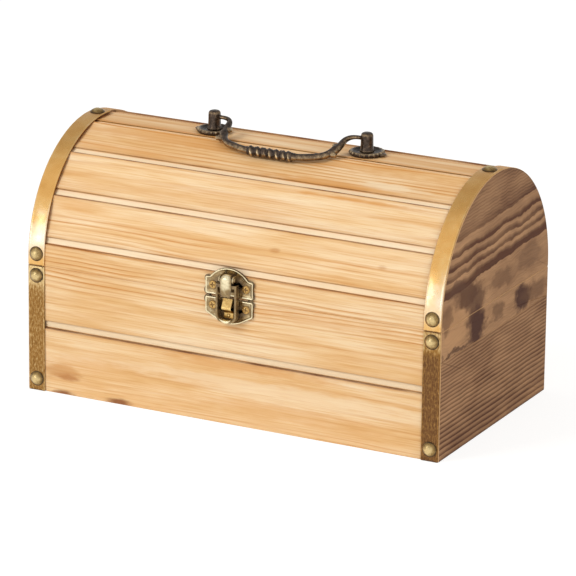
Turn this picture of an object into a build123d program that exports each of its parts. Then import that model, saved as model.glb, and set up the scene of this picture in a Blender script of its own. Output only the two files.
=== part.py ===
from build123d import *

import os
from math import acos, asin, atan2, cos, degrees, radians, sin, tan

# Wooden treasure chest with a barrel lid, gold corner straps, a hasp latch and a drop handle.
# X runs along the front, Y from front to back, Z up. The origin is the middle of the underside.
# Lengths are in millimetres and angles in degrees.

# Chest
chest_length = 300.0
chest_depth = 164.0
seam_height = 86.0
arch_rise = 3.0
end_thickness = 10.0
end_joint = 66.0
plank_thickness = 6.0
plank_inset = 0.3
plank_edge = 0.4
bottom_thickness = 5.0
bottom_joint = 44.0
shoulder_angle = 8.6
slat_count = 7
lap_width = 4.8
lap_depth = 1.2

# Straps and dome nails
strap_width = 12.0
strap_thickness = 0.6
strap_edge_inset = 0.5
strap_seam_gap = 0.4
strap_overrun = 6.0
nail_head_radius = 4.8
nail_head_height = 3.0
nail_shank_radius = 0.9
nail_shank_length = 12.0
nail_fit = 0.05
low_nail_height = 8.0
seam_nail_drop = 6.8
seam_nail_rise = 8.0
top_nail_offset = 1.5

# Small screws of the latch and the hinges
screw_head_radius = 2.3
screw_head_height = 1.3
screw_head_taper = 35.0
screw_shank_radius = 0.9
screw_shank_length = 5.0
screw_fit = 0.1
screw_slot_width = 0.5
screw_slot_depth = 0.5

# Latch plates
latch_side_width = 9.8
plate_thickness = 0.8
plate_rim_width = 1.3
plate_rim_rise = 0.8
upper_plate_rise = 1.0
upper_shoulder_height = 11.7
upper_peak_height = 18.9
upper_ledge = 3.3
lower_plate_drop = 0.7
lower_side_height = 10.5
lower_plate_height = 17.0
lower_toe_width = 16.0
lower_toe_rise = 1.6
latch_screw_inset = 5.3
upper_screw_rise = 6.2
lower_screw_drop = 5.6

# Latch flap with its pin, ears and lip
flap_pin_rise = 13.2
flap_pin_stand = 3.3
flap_pin_radius = 0.8
flap_pin_head_radius = 1.3
flap_pin_head_height = 0.5
flap_pin_fit = 0.06
flap_knuckle_radius = 3.0
flap_tongue_width = 8.0
flap_tongue_length = 11.0
flap_tongue_thickness = 2.0
flap_tongue_edge = 1.2
flap_width = 15.0
flap_wall = 1.5
flap_depth = 4.7
flap_stand = 0.5
flap_shoulder_drop = 3.2
flap_shoulder_edge = 1.2
flap_web_height = 2.3
flap_web_thickness = 1.3
flap_length = 25.7
flap_corner = 6.0
flap_gap = 0.3
flap_lip_width = 8.4
flap_lip_drop = 3.0
flap_lip_height = 1.9
flap_lip_stand = 1.0
ear_thickness = 1.0
ear_radius = 2.4

# Catch on the lower latch plate
catch_width = 7.0
catch_thickness = 0.9
catch_bend = 1.0
catch_foot_rise = 4.2
catch_foot_height = 4.3
catch_nose_rise = 11.2
catch_nose_stand = 4.2
catch_top_rise = 17.8
catch_top_stand = 1.2
catch_rivet_rise = 6.1
catch_rivet_radius = 1.3
catch_rivet_height = 0.8
catch_rivet_shank_radius = 0.7
catch_rivet_shank_length = 4.0

# Hinges at the back
hinge_spread_share = 0.6
leaf_width = 20.0
leaf_height = 11.0
leaf_thickness = 1.0
leaf_seam_gap = 0.3
leaf_corner = 1.0
barrel_radius = 2.2
barrel_clearance = 0.3
knuckle_length = 6.0
knuckle_gap = 0.3
hinge_pin_radius = 1.1
hinge_pin_fit = 0.05
hinge_pin_head_radius = 1.7
hinge_pin_head_height = 0.6
leaf_screw_spread = 12.0
leaf_screw_rise = 7.0
lid_stop_angle = 105.0
stop_reach = 4.4
stop_thickness = 1.2
stop_overlap = 2.2

# Handle
post_spread = 111.6
post_radius = 4.1
post_foot_radius = 4.5
post_length = 12.6
post_cap_height = 7.0
post_edge = 1.0
rosette_radius = 11.0
rosette_thickness = 1.4
rosette_bead_radius = 1.25
rosette_bead_count = 20
rosette_tip_reach = 14.2
rosette_boss_radius = 7.6
rosette_boss_height = 0.9
pivot_rise = 8.3
trunnion_radius = 1.37
trunnion_fit = 0.08
trunnion_depth = 2.6
trunnion_end_gap = 0.4
bail_end_gap = 0.5
handle_screw_radius = 2.0
handle_screw_fit = 0.1
handle_screw_reach = 5.6
handle_screw_head_radius = 3.8
handle_screw_head_height = 2.2
washer_radius = 5.0
washer_thickness = 0.8
bail_radius = 2.3
stem_radius = 1.6
bail_arm_inset = 14.0
bail_arm_length = 16.0
bail_knee_inset = 6.5
bail_knee_reach = 25.0
bail_reach = 29.8
bail_bar_width = 40.0
bail_shoulder_radius = 5.0
bail_elbow_radius = 12.0
bail_knee_radius = 9.0
bail_bar_radius = 40.0
bail_rest_gap = 0.35
grip_radius = 3.6
grip_groove_radius = 2.8
grip_bead_length = 4.6
grip_bead_count = 7
grip_crown_share = 0.5
leaf_tip_length = 4.6
leaf_tip_radius = 1.9
leaf_tip_taper = 15.0
outer_leaf_turn = 20.0
inner_leaf_turn = 190.0
inner_leaf_reach = 12.5

# Overrun of a cut past the face that it opens
cut_overrun = 1.0

# Places worked out from the sizes above
half_length = chest_length / 2
half_depth = chest_depth / 2
arch_base = seam_height + arch_rise
hinge_spread = chest_length * hinge_spread_share
plank_length = chest_length - 2 * end_thickness
plank_face = half_depth - plank_inset
plank_inner_face = plank_face - plank_thickness
slat_angle = (180 - 2 * shoulder_angle) / slat_count
slat_apothem = plank_face * cos(radians(slat_angle / 2))
slat_inner_apothem = slat_apothem - plank_thickness
lid_top = arch_base + slat_apothem
lid_ceiling = arch_base + slat_inner_apothem
strap_face = half_depth + strap_thickness
strap_center = half_length - strap_edge_inset - strap_width / 2
plate_width = flap_width + 2 * latch_side_width
plate_face = plank_face + plate_thickness
upper_plate_bottom = seam_height + upper_plate_rise
lower_plate_top = seam_height - lower_plate_drop
lower_plate_bottom = lower_plate_top - lower_plate_height
flap_pin_height = seam_height + flap_pin_rise
flap_pin_depth = plate_face + flap_pin_stand
flap_top = flap_pin_height - flap_shoulder_drop
flap_face = plate_face + flap_stand + flap_depth
ear_inner_face = flap_tongue_width / 2 + flap_gap
leaf_face = plank_face + leaf_thickness
hinge_axis_depth = plank_face + barrel_clearance + barrel_radius
rosette_top = lid_top + rosette_thickness + rosette_boss_height
pivot_height = rosette_top + pivot_rise
post_center = post_spread / 2
bail_end = post_center - post_radius - bail_end_gap
bail_arm = post_center - bail_arm_inset
sides = {"left": -1, "right": 1}


def rim_point(radius, angle):
    """The point (y, z) of the lid's circle at an angle up from the front."""
    return (-radius * cos(radians(angle)), arch_base + radius * sin(radians(angle)))


def rim_plane(x, radius, angle):
    """A plane that touches the lid's circle at an angle up from the front and faces outwards."""
    outward = (0, -cos(radians(angle)), sin(radians(angle)))
    return Plane(origin=(x, *rim_point(radius, angle)), x_dir=(1, 0, 0), z_dir=outward)


def front_plane(x, z, depth):
    """A plane in front of the middle by depth, facing forwards, with its y axis up."""
    return Plane(origin=(x, -depth, z), x_dir=(1, 0, 0), z_dir=(0, -1, 0))


def back_plane(x, z, depth):
    """A plane behind the middle by depth, facing backwards, with its y axis up."""
    return Plane(origin=(x, depth, z), x_dir=(-1, 0, 0), z_dir=(0, 1, 0))


def save(piece, label):
    """Labels a finished piece and writes its file."""
    piece.part.label = label
    export_step(piece.part, f"parts/{label}.step")


# Where the nails and screws go
seam_nail_angle = degrees(asin((seam_height + seam_nail_rise - arch_base) / strap_face))
top_nail_angle = 90 - degrees(asin(top_nail_offset / strap_face))
high_nail_height = seam_height - seam_nail_drop
latch_screw_places = (latch_screw_inset - plate_width / 2, plate_width / 2 - latch_screw_inset)
hinge_centers = {"left": -hinge_spread / 2, "right": hinge_spread / 2}
leaf_screw_places = [
    center + shift for center in hinge_centers.values() for shift in (-leaf_screw_spread / 2, leaf_screw_spread / 2)
]
latch_lower_screws = [front_plane(x, lower_plate_top - lower_screw_drop, plate_face) for x in latch_screw_places]
latch_upper_screws = [front_plane(x, upper_plate_bottom + upper_screw_rise, plate_face) for x in latch_screw_places]
leaf_lower_screws = [back_plane(x, seam_height - leaf_screw_rise, leaf_face) for x in leaf_screw_places]
leaf_upper_screws = [back_plane(x, seam_height + leaf_screw_rise, leaf_face) for x in leaf_screw_places]
catch_rivet = front_plane(0, lower_plate_bottom + catch_rivet_rise, plate_face + catch_thickness)

os.makedirs("parts", exist_ok=True)


# End boards: two up to the seam and one in the arch
def base_nail_planes(side, depth):
    return [front_plane(side * strap_center, z, depth) for z in (low_nail_height, high_nail_height)]


def lid_nail_planes(side):
    return [rim_plane(side * strap_center, strap_face, angle) for angle in (seam_nail_angle, top_nail_angle)]


def end_board(side, bottom, top, nail_height):
    with BuildPart() as board:
        with BuildSketch(Plane.XY.offset(bottom)):
            with Locations((side * (half_length - end_thickness / 2), 0)):
                Rectangle(end_thickness, chest_depth)
        extrude(amount=top - bottom)
        with Locations(front_plane(side * strap_center, nail_height, half_depth)):
            Hole(nail_shank_radius + nail_fit, depth=nail_shank_length)
    return board


def end_arch(side):
    with BuildPart() as board:
        with BuildSketch(Plane.YZ.offset(side * (half_length - end_thickness))):
            with BuildLine():
                Polyline(
                    (-half_depth, arch_base),
                    (-half_depth, seam_height),
                    (half_depth, seam_height),
                    (half_depth, arch_base),
                )
                CenterArc((0, arch_base), half_depth, 0, 180)
            make_face()
        extrude(amount=side * end_thickness)
        with Locations(*lid_nail_planes(side)):
            Hole(nail_shank_radius + nail_fit, depth=nail_shank_length)
    return board


for name, side in sides.items():
    save(end_board(side, 0, end_joint, low_nail_height), f"{name}_end_low_board")
    save(end_board(side, end_joint, seam_height, high_nail_height), f"{name}_end_high_board")
    save(end_arch(side), f"{name}_end_arch")


# Long planks of the base walls. The upper one has a lap along its lower edge
def low_wall_plank(facing):
    with BuildPart() as plank:
        with BuildSketch(Plane.YZ.offset(-plank_length / 2)):
            with Locations((facing * (plank_face + plank_inner_face) / 2, bottom_joint / 2)):
                Rectangle(plank_thickness, bottom_joint)
        extrude(amount=plank_length)
    return plank


def high_wall_plank(facing, screws, rivets):
    with BuildPart() as plank:
        with BuildSketch(Plane.YZ.offset(-plank_length / 2)):
            with BuildLine():
                Polyline(
                    (facing * plank_inner_face, bottom_joint),
                    (facing * (plank_face - lap_depth), bottom_joint),
                    (facing * (plank_face - lap_depth), bottom_joint + lap_width),
                    (facing * plank_face, bottom_joint + lap_width),
                    (facing * plank_face, seam_height),
                    (facing * plank_inner_face, seam_height),
                    close=True,
                )
            make_face()
        extrude(amount=plank_length)
        with Locations(*screws):
            Hole(screw_shank_radius + screw_fit, depth=screw_shank_length)
        for rivet in rivets:
            with Locations(rivet):
                Hole(catch_rivet_shank_radius + screw_fit, depth=catch_rivet_shank_length)
    return plank


save(low_wall_plank(-1), "base_front_plank_low")
save(low_wall_plank(1), "base_back_plank_low")
save(high_wall_plank(-1, latch_lower_screws, [catch_rivet]), "base_front_plank_high")
save(high_wall_plank(1, leaf_lower_screws, []), "base_back_plank_high")

# Bottom board, let in between the walls
with BuildPart() as bottom_board:
    with BuildSketch(Plane.XY):
        Rectangle(plank_length, 2 * plank_inner_face)
    extrude(amount=bottom_thickness)
save(bottom_board, "bottom_board")


# The lid's upright planks, which are the cut-off tops of the wall planks, sanded to the circle
def lid_side_plank(facing, screws):
    shoulder_y, shoulder_z = rim_point(plank_face, shoulder_angle)
    inner_z = arch_base + plank_inner_face * tan(radians(shoulder_angle))
    middle_y, middle_z = rim_point(plank_face, shoulder_angle / 2)
    with BuildPart() as plank:
        with BuildSketch(Plane.YZ.offset(-plank_length / 2)):
            with BuildLine():
                Polyline(
                    (-facing * shoulder_y, shoulder_z),
                    (facing * plank_inner_face, inner_z),
                    (facing * plank_inner_face, seam_height),
                    (facing * plank_face, seam_height),
                    (facing * plank_face, arch_base),
                )
                ThreePointArc(
                    (facing * plank_face, arch_base),
                    (-facing * middle_y, middle_z),
                    (-facing * shoulder_y, shoulder_z),
                )
            make_face()
        extrude(amount=plank_length)
        with Locations(*screws):
            Hole(screw_shank_radius + screw_fit, depth=screw_shank_length)
    return plank


save(lid_side_plank(-1, latch_upper_screws), "lid_front_side_plank")
save(lid_side_plank(1, leaf_upper_screws), "lid_back_side_plank")


# Planks of the arch, counted from the front. The lap is on the lower edge, and the top plank has two
def arch_plank(number):
    angle = shoulder_angle + (number - 0.5) * slat_angle
    slope = tan(radians(slat_angle / 2))
    corner = slat_apothem * slope
    lap_floor = slat_apothem - lap_depth
    plain_edge = [(-corner, slat_apothem)]
    lap_edge = [
        (-lap_floor * slope, lap_floor),
        (lap_width - corner, lap_floor),
        (lap_width - corner, slat_apothem),
    ]
    front_edge = lap_edge if 2 * number <= slat_count + 1 else plain_edge
    back_edge = lap_edge if 2 * number >= slat_count + 1 else plain_edge
    along = (0, sin(radians(angle)), cos(radians(angle)))
    with BuildPart() as plank:
        with BuildSketch(Plane(origin=(-plank_length / 2, 0, arch_base), x_dir=along, z_dir=(1, 0, 0))) as section:
            with BuildLine():
                Polyline(
                    (-slat_inner_apothem * slope, slat_inner_apothem),
                    *front_edge,
                    *[(-x, y) for x, y in reversed(back_edge)],
                    (slat_inner_apothem * slope, slat_inner_apothem),
                    close=True,
                )
            make_face()
            fillet(section.vertices().group_by(Axis.Y)[-1], plank_edge)
        extrude(amount=plank_length)
        if abs(angle - 90) < slat_angle / 2:
            with Locations((-post_center, 0, lid_top), (post_center, 0, lid_top)):
                Hole(handle_screw_radius + handle_screw_fit, depth=lid_top - lid_ceiling + cut_overrun)
    return plank


for number in range(1, slat_count + 1):
    save(arch_plank(number), f"lid_plank_{number}")


# Gold straps bent over the front corners
def base_strap(side):
    strap_length = seam_height - strap_seam_gap
    with BuildPart() as strap:
        with BuildSketch(front_plane(side * strap_center, strap_length / 2, half_depth)):
            Rectangle(strap_width, strap_length)
        extrude(amount=strap_thickness)
        with Locations(*base_nail_planes(side, strap_face)):
            Hole(nail_shank_radius + nail_fit, depth=strap_thickness)
    return strap


def lid_strap(side):
    foot = seam_height + strap_seam_gap
    sweep_angle = 90 + degrees(asin(strap_overrun / strap_face))
    with BuildPart() as strap:
        with BuildSketch(Plane.YZ.offset(side * strap_center - strap_width / 2)):
            with BuildLine():
                outer = CenterArc((0, arch_base), strap_face, 180, -sweep_angle)
                inner = CenterArc((0, arch_base), half_depth, 180, -sweep_angle)
                Line(outer @ 1, inner @ 1)
                Polyline(inner @ 0, (-half_depth, foot), (-strap_face, foot), outer @ 0)
            make_face()
        extrude(amount=strap_width)
        with Locations(*lid_nail_planes(side)):
            Hole(nail_shank_radius + nail_fit, depth=strap_thickness + cut_overrun)
    return strap


for name, side in sides.items():
    save(base_strap(side), f"{name}_base_strap")
    save(lid_strap(side), f"{name}_lid_strap")


# Nails and the rivet, each with a domed head that seats on the XY plane
def domed_nail(head_radius, head_height, shank_radius, shank_length):
    dome_radius = (head_radius**2 + head_height**2) / (2 * head_height)
    rim_angle = degrees(atan2(dome_radius - head_height, head_radius))
    with BuildPart() as nail:
        with BuildSketch(Plane.XZ):
            with BuildLine():
                Polyline(
                    (0, head_height),
                    (0, -shank_length),
                    (shank_radius / 2, -shank_length),
                    (shank_radius, 2 * shank_radius - shank_length),
                    (shank_radius, 0),
                    (head_radius, 0),
                )
                CenterArc((0, head_height - dome_radius), dome_radius, rim_angle, 90 - rim_angle)
            make_face()
        revolve(axis=Axis.Z)
    return nail


dome_nail = domed_nail(nail_head_radius, nail_head_height, nail_shank_radius, nail_shank_length)
rivet = domed_nail(catch_rivet_radius, catch_rivet_height, catch_rivet_shank_radius, catch_rivet_shank_length)

# Small screw with a cross slot, whose head seats on the XY plane
with BuildPart() as slotted_screw:
    with BuildSketch(Plane.XY):
        Circle(screw_head_radius)
    extrude(amount=screw_head_height, taper=screw_head_taper)
    with BuildSketch(Plane.XY):
        Circle(screw_shank_radius)
    extrude(amount=-screw_shank_length)
    with BuildSketch(Plane.XY.offset(screw_head_height - screw_slot_depth)):
        Rectangle(2 * screw_shank_radius, screw_slot_width)
        Rectangle(screw_slot_width, 2 * screw_shank_radius)
    extrude(amount=screw_slot_depth, mode=Mode.SUBTRACT)
    chamfer(slotted_screw.edges().group_by(Axis.Z)[0], screw_shank_radius / 2)


def set_of(piece, planes):
    """The same piece at each of the planes."""
    with BuildPart() as group:
        with Locations(*planes):
            add(piece.part)
    return group


save(set_of(dome_nail, [p for side in sides.values() for p in base_nail_planes(side, strap_face)]), "base_strap_nails")
save(set_of(dome_nail, [p for side in sides.values() for p in lid_nail_planes(side)]), "lid_strap_nails")
save(set_of(slotted_screw, latch_lower_screws), "latch_screws_base")
save(set_of(slotted_screw, latch_upper_screws), "latch_screws_lid")
save(set_of(slotted_screw, leaf_lower_screws), "hinge_screws_base")
save(set_of(slotted_screw, leaf_upper_screws), "hinge_screws_lid")
save(set_of(rivet, [catch_rivet]), "latch_catch_rivet")


# Pins with a head on each end, along the normal of a plane through the middle
def headed_pin(plane, radius, length, head_radius, head_height):
    with BuildPart() as pin:
        with BuildSketch(plane.offset(-length / 2)):
            Circle(radius)
        extrude(amount=length)
        with BuildSketch(plane.offset(-length / 2 - head_height), plane.offset(length / 2)):
            Circle(head_radius)
        extrude(amount=head_height)
    return pin


# Latch plates with a rolled rim. The rim stops where the flap crosses it
with BuildPart() as latch_upper_plate:
    arch_half_width = plate_width / 2 - upper_ledge
    with BuildSketch(front_plane(0, upper_plate_bottom, plank_face)) as upper_outline:
        with BuildLine():
            Polyline(
                (-arch_half_width, upper_shoulder_height),
                (-plate_width / 2, upper_shoulder_height),
                (-plate_width / 2, 0),
                (plate_width / 2, 0),
                (plate_width / 2, upper_shoulder_height),
                (arch_half_width, upper_shoulder_height),
            )
            ThreePointArc(
                (arch_half_width, upper_shoulder_height),
                (0, upper_peak_height),
                (-arch_half_width, upper_shoulder_height),
            )
        make_face()
    extrude(amount=plate_thickness + plate_rim_rise)
    with BuildSketch(front_plane(0, upper_plate_bottom, plate_face)):
        offset(upper_outline.sketch_local.face(), amount=-plate_rim_width)
        Rectangle(flap_width + 2 * flap_gap, 2 * plate_rim_width)
    extrude(amount=plate_rim_rise, mode=Mode.SUBTRACT)
    for side in sides.values():
        with BuildSketch(Plane.YZ.offset(side * ear_inner_face)):
            with Locations((-flap_pin_depth, flap_pin_height)):
                Circle(ear_radius)
                Rectangle(flap_pin_stand, 2 * ear_radius, align=(Align.MIN, Align.CENTER))
                Circle(flap_pin_radius + flap_pin_fit, mode=Mode.SUBTRACT)
        extrude(amount=side * ear_thickness)
    with Locations(*latch_upper_screws):
        Hole(screw_shank_radius + screw_fit, depth=plate_thickness)
save(latch_upper_plate, "latch_upper_plate")

with BuildPart() as latch_lower_plate:
    with BuildSketch(front_plane(0, lower_plate_top, plank_face)) as lower_outline:
        with BuildLine():
            Polyline(
                (-lower_toe_width / 2, lower_toe_rise - lower_plate_height),
                (-plate_width / 2, -lower_side_height),
                (-plate_width / 2, 0),
                (plate_width / 2, 0),
                (plate_width / 2, -lower_side_height),
                (lower_toe_width / 2, lower_toe_rise - lower_plate_height),
            )
            ThreePointArc(
                (lower_toe_width / 2, lower_toe_rise - lower_plate_height),
                (0, -lower_plate_height),
                (-lower_toe_width / 2, lower_toe_rise - lower_plate_height),
            )
        make_face()
    extrude(amount=plate_thickness + plate_rim_rise)
    with BuildSketch(front_plane(0, lower_plate_top, plate_face)):
        offset(lower_outline.sketch_local.face(), amount=-plate_rim_width)
        Rectangle(flap_width + 2 * flap_gap, 2 * plate_rim_width)
    extrude(amount=plate_rim_rise, mode=Mode.SUBTRACT)
    with Locations(*latch_lower_screws):
        Hole(screw_shank_radius + screw_fit, depth=plate_thickness)
    with Locations(catch_rivet):
        Hole(catch_rivet_shank_radius + screw_fit, depth=plate_thickness + catch_thickness)
save(latch_lower_plate, "latch_lower_plate")

# Tongue of the flap: a crowned strip that wraps the pin, with a round top
with BuildPart() as flap_tongue:
    with BuildSketch(Plane.YZ.offset(-flap_tongue_width / 2)):
        with Locations((-flap_pin_depth, flap_pin_height)):
            Circle(flap_knuckle_radius)
        with Locations((-flap_pin_depth - flap_knuckle_radius, flap_pin_height)):
            Rectangle(flap_tongue_thickness, flap_tongue_length, align=(Align.MIN, Align.MAX))
    extrude(amount=flap_tongue_width)
    with BuildSketch(front_plane(0, flap_pin_height + flap_knuckle_radius - flap_tongue_width / 2, plate_face)):
        Circle(flap_tongue_width / 2)
        Rectangle(flap_tongue_width, flap_tongue_length, align=(Align.CENTER, Align.MAX))
    extrude(amount=flap_pin_stand + flap_knuckle_radius, mode=Mode.INTERSECT)
    chamfer(flap_tongue.edges().filter_by(Axis.Z).sort_by(Axis.Y)[:2], flap_tongue_edge)
    with BuildSketch(Plane.YZ.offset(-flap_tongue_width / 2)):
        with Locations((-flap_pin_depth, flap_pin_height)):
            Circle(flap_pin_radius + flap_pin_fit)
    extrude(amount=flap_tongue_width, mode=Mode.SUBTRACT)

# Flap: a stirrup of two rails and a round foot, a web that joins it to the tongue, and a finger lip
with BuildPart() as latch_flap:
    with BuildSketch(front_plane(0, flap_top, plate_face + flap_stand)):
        with BuildLine():
            outer = FilletPolyline(
                (-flap_width / 2, 0),
                (-flap_width / 2, -flap_length),
                (flap_width / 2, -flap_length),
                (flap_width / 2, 0),
                radius=flap_corner,
            )
            inner = FilletPolyline(
                (flap_wall - flap_width / 2, 0),
                (flap_wall - flap_width / 2, flap_wall - flap_length),
                (flap_width / 2 - flap_wall, flap_wall - flap_length),
                (flap_width / 2 - flap_wall, 0),
                radius=flap_corner - flap_wall,
            )
            Line(outer @ 0, inner @ 0)
            Line(outer @ 1, inner @ 1)
        make_face()
    extrude(amount=flap_depth)
    fillet(latch_flap.edges().filter_by(Axis.Y).group_by(Axis.Z)[-1].sort_by(Axis.X)[::3], flap_shoulder_edge)
    with BuildSketch(front_plane(0, flap_top, flap_face)):
        Rectangle(flap_width - 2 * flap_shoulder_edge, flap_web_height, align=(Align.CENTER, Align.MAX))
    extrude(amount=-flap_web_thickness)
    with BuildSketch(front_plane(0, flap_top - flap_length + flap_lip_height, flap_face + flap_lip_stand)):
        with BuildLine():
            ThreePointArc((-flap_lip_width / 2, 0), (0, -flap_lip_drop), (flap_lip_width / 2, 0))
            ThreePointArc((-flap_lip_width / 2, 0), (0, flap_lip_height - flap_lip_drop), (flap_lip_width / 2, 0))
        make_face()
    extrude(amount=-flap_lip_stand - flap_wall)
    add(flap_tongue.part)
save(latch_flap, "latch_flap")

latch_pin = headed_pin(
    Plane(origin=(0, -flap_pin_depth, flap_pin_height), z_dir=(1, 0, 0)),
    flap_pin_radius,
    2 * (ear_inner_face + ear_thickness),
    flap_pin_head_radius,
    flap_pin_head_height,
)
save(latch_pin, "latch_pin")

# Catch: a bent strip riveted to the lower plate, whose nose holds the flap down
with BuildPart() as latch_catch:
    with BuildSketch(Plane.YZ.offset(-catch_width / 2)):
        with BuildLine() as catch_line:
            FilletPolyline(
                (-plate_face, lower_plate_bottom + catch_foot_rise),
                (-plate_face, lower_plate_bottom + catch_foot_rise + catch_foot_height),
                (-plate_face - catch_nose_stand, lower_plate_bottom + catch_nose_rise),
                (-plate_face - catch_top_stand, lower_plate_bottom + catch_top_rise),
                radius=catch_bend,
            )
            offset(amount=catch_thickness, side=Side.LEFT)
        make_face()
    extrude(amount=catch_width)
    with Locations(catch_rivet):
        Hole(catch_rivet_shank_radius + screw_fit, depth=catch_thickness)
save(latch_catch, "latch_catch")


# Hinges. The outer knuckles are on the lower leaf and the middle one is on the upper leaf
def knuckle_spans(upper):
    """Where a leaf's knuckles start along X, from the hinge's middle, and how long they are."""
    middle_length = leaf_width - 2 * knuckle_length - 2 * knuckle_gap
    if upper:
        return [(-middle_length / 2, middle_length)]
    return [(-leaf_width / 2, knuckle_length), (leaf_width / 2 - knuckle_length, knuckle_length)]


def stop_plane(x, angle):
    """A plane across the hinge's axis at x, whose x axis points away from the axis at an angle up from the back."""
    away = (0, cos(radians(angle)), sin(radians(angle)))
    return Plane(origin=(x, hinge_axis_depth, seam_height), x_dir=away, z_dir=(1, 0, 0))


def hinge_leaf(center, upper, screws):
    rise = 1 if upper else -1
    axis_point = (hinge_axis_depth, seam_height)
    stop_angle = rise * lid_stop_angle / 2
    stop_align = (Align.MIN, Align.MIN if upper else Align.MAX)
    with BuildPart() as leaf:
        with BuildSketch(back_plane(center, seam_height + rise * leaf_seam_gap, plank_face)) as outline:
            Rectangle(leaf_width, leaf_height, align=(Align.CENTER, Align.MIN if upper else Align.MAX))
            fillet(outline.vertices().group_by(Axis.Y)[-1 if upper else 0], leaf_corner)
        extrude(amount=leaf_thickness)
        for start, length in knuckle_spans(not upper):
            with BuildSketch(Plane.YZ.offset(center + start - knuckle_gap)):
                with Locations(axis_point):
                    Circle(barrel_radius + barrel_clearance)
            extrude(amount=length + 2 * knuckle_gap, mode=Mode.SUBTRACT)
        for start, length in knuckle_spans(upper):
            with BuildSketch(Plane.YZ.offset(center + start)):
                with Locations(axis_point):
                    Circle(barrel_radius)
            extrude(amount=length)
            with BuildSketch(stop_plane(center + start, stop_angle)):
                with Locations(((hinge_pin_radius + barrel_radius) / 2, 0)):
                    Rectangle(stop_reach - (hinge_pin_radius + barrel_radius) / 2, stop_thickness, align=stop_align)
            extrude(amount=length)
            if upper:
                with BuildSketch(stop_plane(center + start - stop_overlap, stop_angle)):
                    with Locations((barrel_radius + barrel_clearance, 0)):
                        Rectangle(stop_reach - barrel_radius - barrel_clearance, stop_thickness, align=stop_align)
                extrude(amount=length + 2 * stop_overlap)
        with BuildSketch(Plane.YZ.offset(center - leaf_width / 2)):
            with Locations(axis_point):
                Circle(hinge_pin_radius + hinge_pin_fit)
        extrude(amount=leaf_width, mode=Mode.SUBTRACT)
        with Locations(*screws):
            Hole(screw_shank_radius + screw_fit, depth=leaf_thickness)
    return leaf


for number, (name, center) in enumerate(hinge_centers.items()):
    own_screws = slice(2 * number, 2 * number + 2)
    save(hinge_leaf(center, False, leaf_lower_screws[own_screws]), f"{name}_hinge_lower_leaf")
    save(hinge_leaf(center, True, leaf_upper_screws[own_screws]), f"{name}_hinge_upper_leaf")
    hinge_pin = headed_pin(
        Plane(origin=(center, hinge_axis_depth, seam_height), z_dir=(1, 0, 0)),
        hinge_pin_radius,
        leaf_width,
        hinge_pin_head_radius,
        hinge_pin_head_height,
    )
    save(hinge_pin, f"{name}_hinge_pin")


# Handle posts, each on a beaded rosette and held by a screw from inside the lid
def handle_rosette(side):
    seat = Plane(origin=(side * post_center, 0, lid_top))
    with BuildPart() as rosette:
        with BuildSketch(seat):
            Circle(rosette_radius)
            with PolarLocations(rosette_radius, rosette_bead_count):
                RegularPolygon(rosette_bead_radius, 8)
            with BuildLine():
                Polyline(
                    (0, rosette_boss_radius),
                    (side * rosette_tip_reach, 0),
                    (0, -rosette_boss_radius),
                    close=True,
                )
            make_face()
        extrude(amount=rosette_thickness)
        with BuildSketch(seat.offset(rosette_thickness)):
            Circle(rosette_boss_radius)
        extrude(amount=rosette_boss_height, taper=45)
        with Locations(seat.offset(rosette_thickness + rosette_boss_height)):
            Hole(handle_screw_radius + handle_screw_fit, depth=rosette_thickness + rosette_boss_height)
    return rosette


def handle_post(side):
    foot = Plane(origin=(side * post_center, 0, rosette_top))
    hole_start = post_center - post_radius + trunnion_depth + trunnion_end_gap
    with BuildPart() as post:
        with BuildSketch(foot):
            Circle(post_foot_radius)
        with BuildSketch(foot.offset(post_length - post_cap_height)):
            Circle(post_radius)
        loft()
        with BuildSketch(foot.offset(post_length - post_cap_height)):
            Circle(post_radius)
        extrude(amount=post_cap_height)
        chamfer(post.edges().group_by(Axis.Z)[-1], post_edge)
        with BuildSketch(Plane(origin=(side * hole_start, 0, pivot_height), z_dir=(-side, 0, 0))):
            Circle(trunnion_radius + trunnion_fit)
        extrude(amount=post_radius, mode=Mode.SUBTRACT)
        with BuildSketch(foot):
            Circle(handle_screw_radius + handle_screw_fit)
        extrude(amount=handle_screw_reach, mode=Mode.SUBTRACT)
    return post


for name, side in sides.items():
    save(handle_rosette(side), f"{name}_handle_rosette")
    save(handle_post(side), f"{name}_handle_post")

with BuildPart() as handle_washers:
    with BuildSketch(Plane.XY.offset(lid_ceiling - washer_thickness)):
        with Locations((-post_center, 0), (post_center, 0)):
            Circle(washer_radius)
            Circle(handle_screw_radius + handle_screw_fit, mode=Mode.SUBTRACT)
    extrude(amount=washer_thickness)
save(handle_washers, "handle_washers")

with BuildPart() as handle_screws:
    with BuildSketch(Plane.XY.offset(lid_ceiling - washer_thickness - handle_screw_head_height)):
        with Locations((-post_center, 0), (post_center, 0)):
            Circle(handle_screw_head_radius)
    extrude(amount=handle_screw_head_height)
    with BuildSketch(Plane.XY.offset(lid_ceiling - washer_thickness)):
        with Locations((-post_center, 0), (post_center, 0)):
            Circle(handle_screw_radius)
    extrude(amount=rosette_top + handle_screw_reach - lid_ceiling + washer_thickness - handle_screw_fit)
save(handle_screws, "handle_screws")

# Bail of the handle. At rest its grip lies just above the plank next to the top one
rest_facet_angle = 90 - slat_angle
rest_reach_share = (
    slat_apothem + grip_radius + bail_rest_gap - (pivot_height - arch_base) * sin(radians(rest_facet_angle))
) / bail_reach
bail_tilt = degrees(acos(rest_reach_share)) - rest_facet_angle
bail_plane = Plane(
    origin=(0, 0, pivot_height),
    x_dir=(1, 0, 0),
    z_dir=(0, sin(radians(bail_tilt)), -cos(radians(bail_tilt))),
)
print("bail tilt below level", round(bail_tilt, 2), "travel", round(180 + 2 * bail_tilt, 2))

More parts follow.
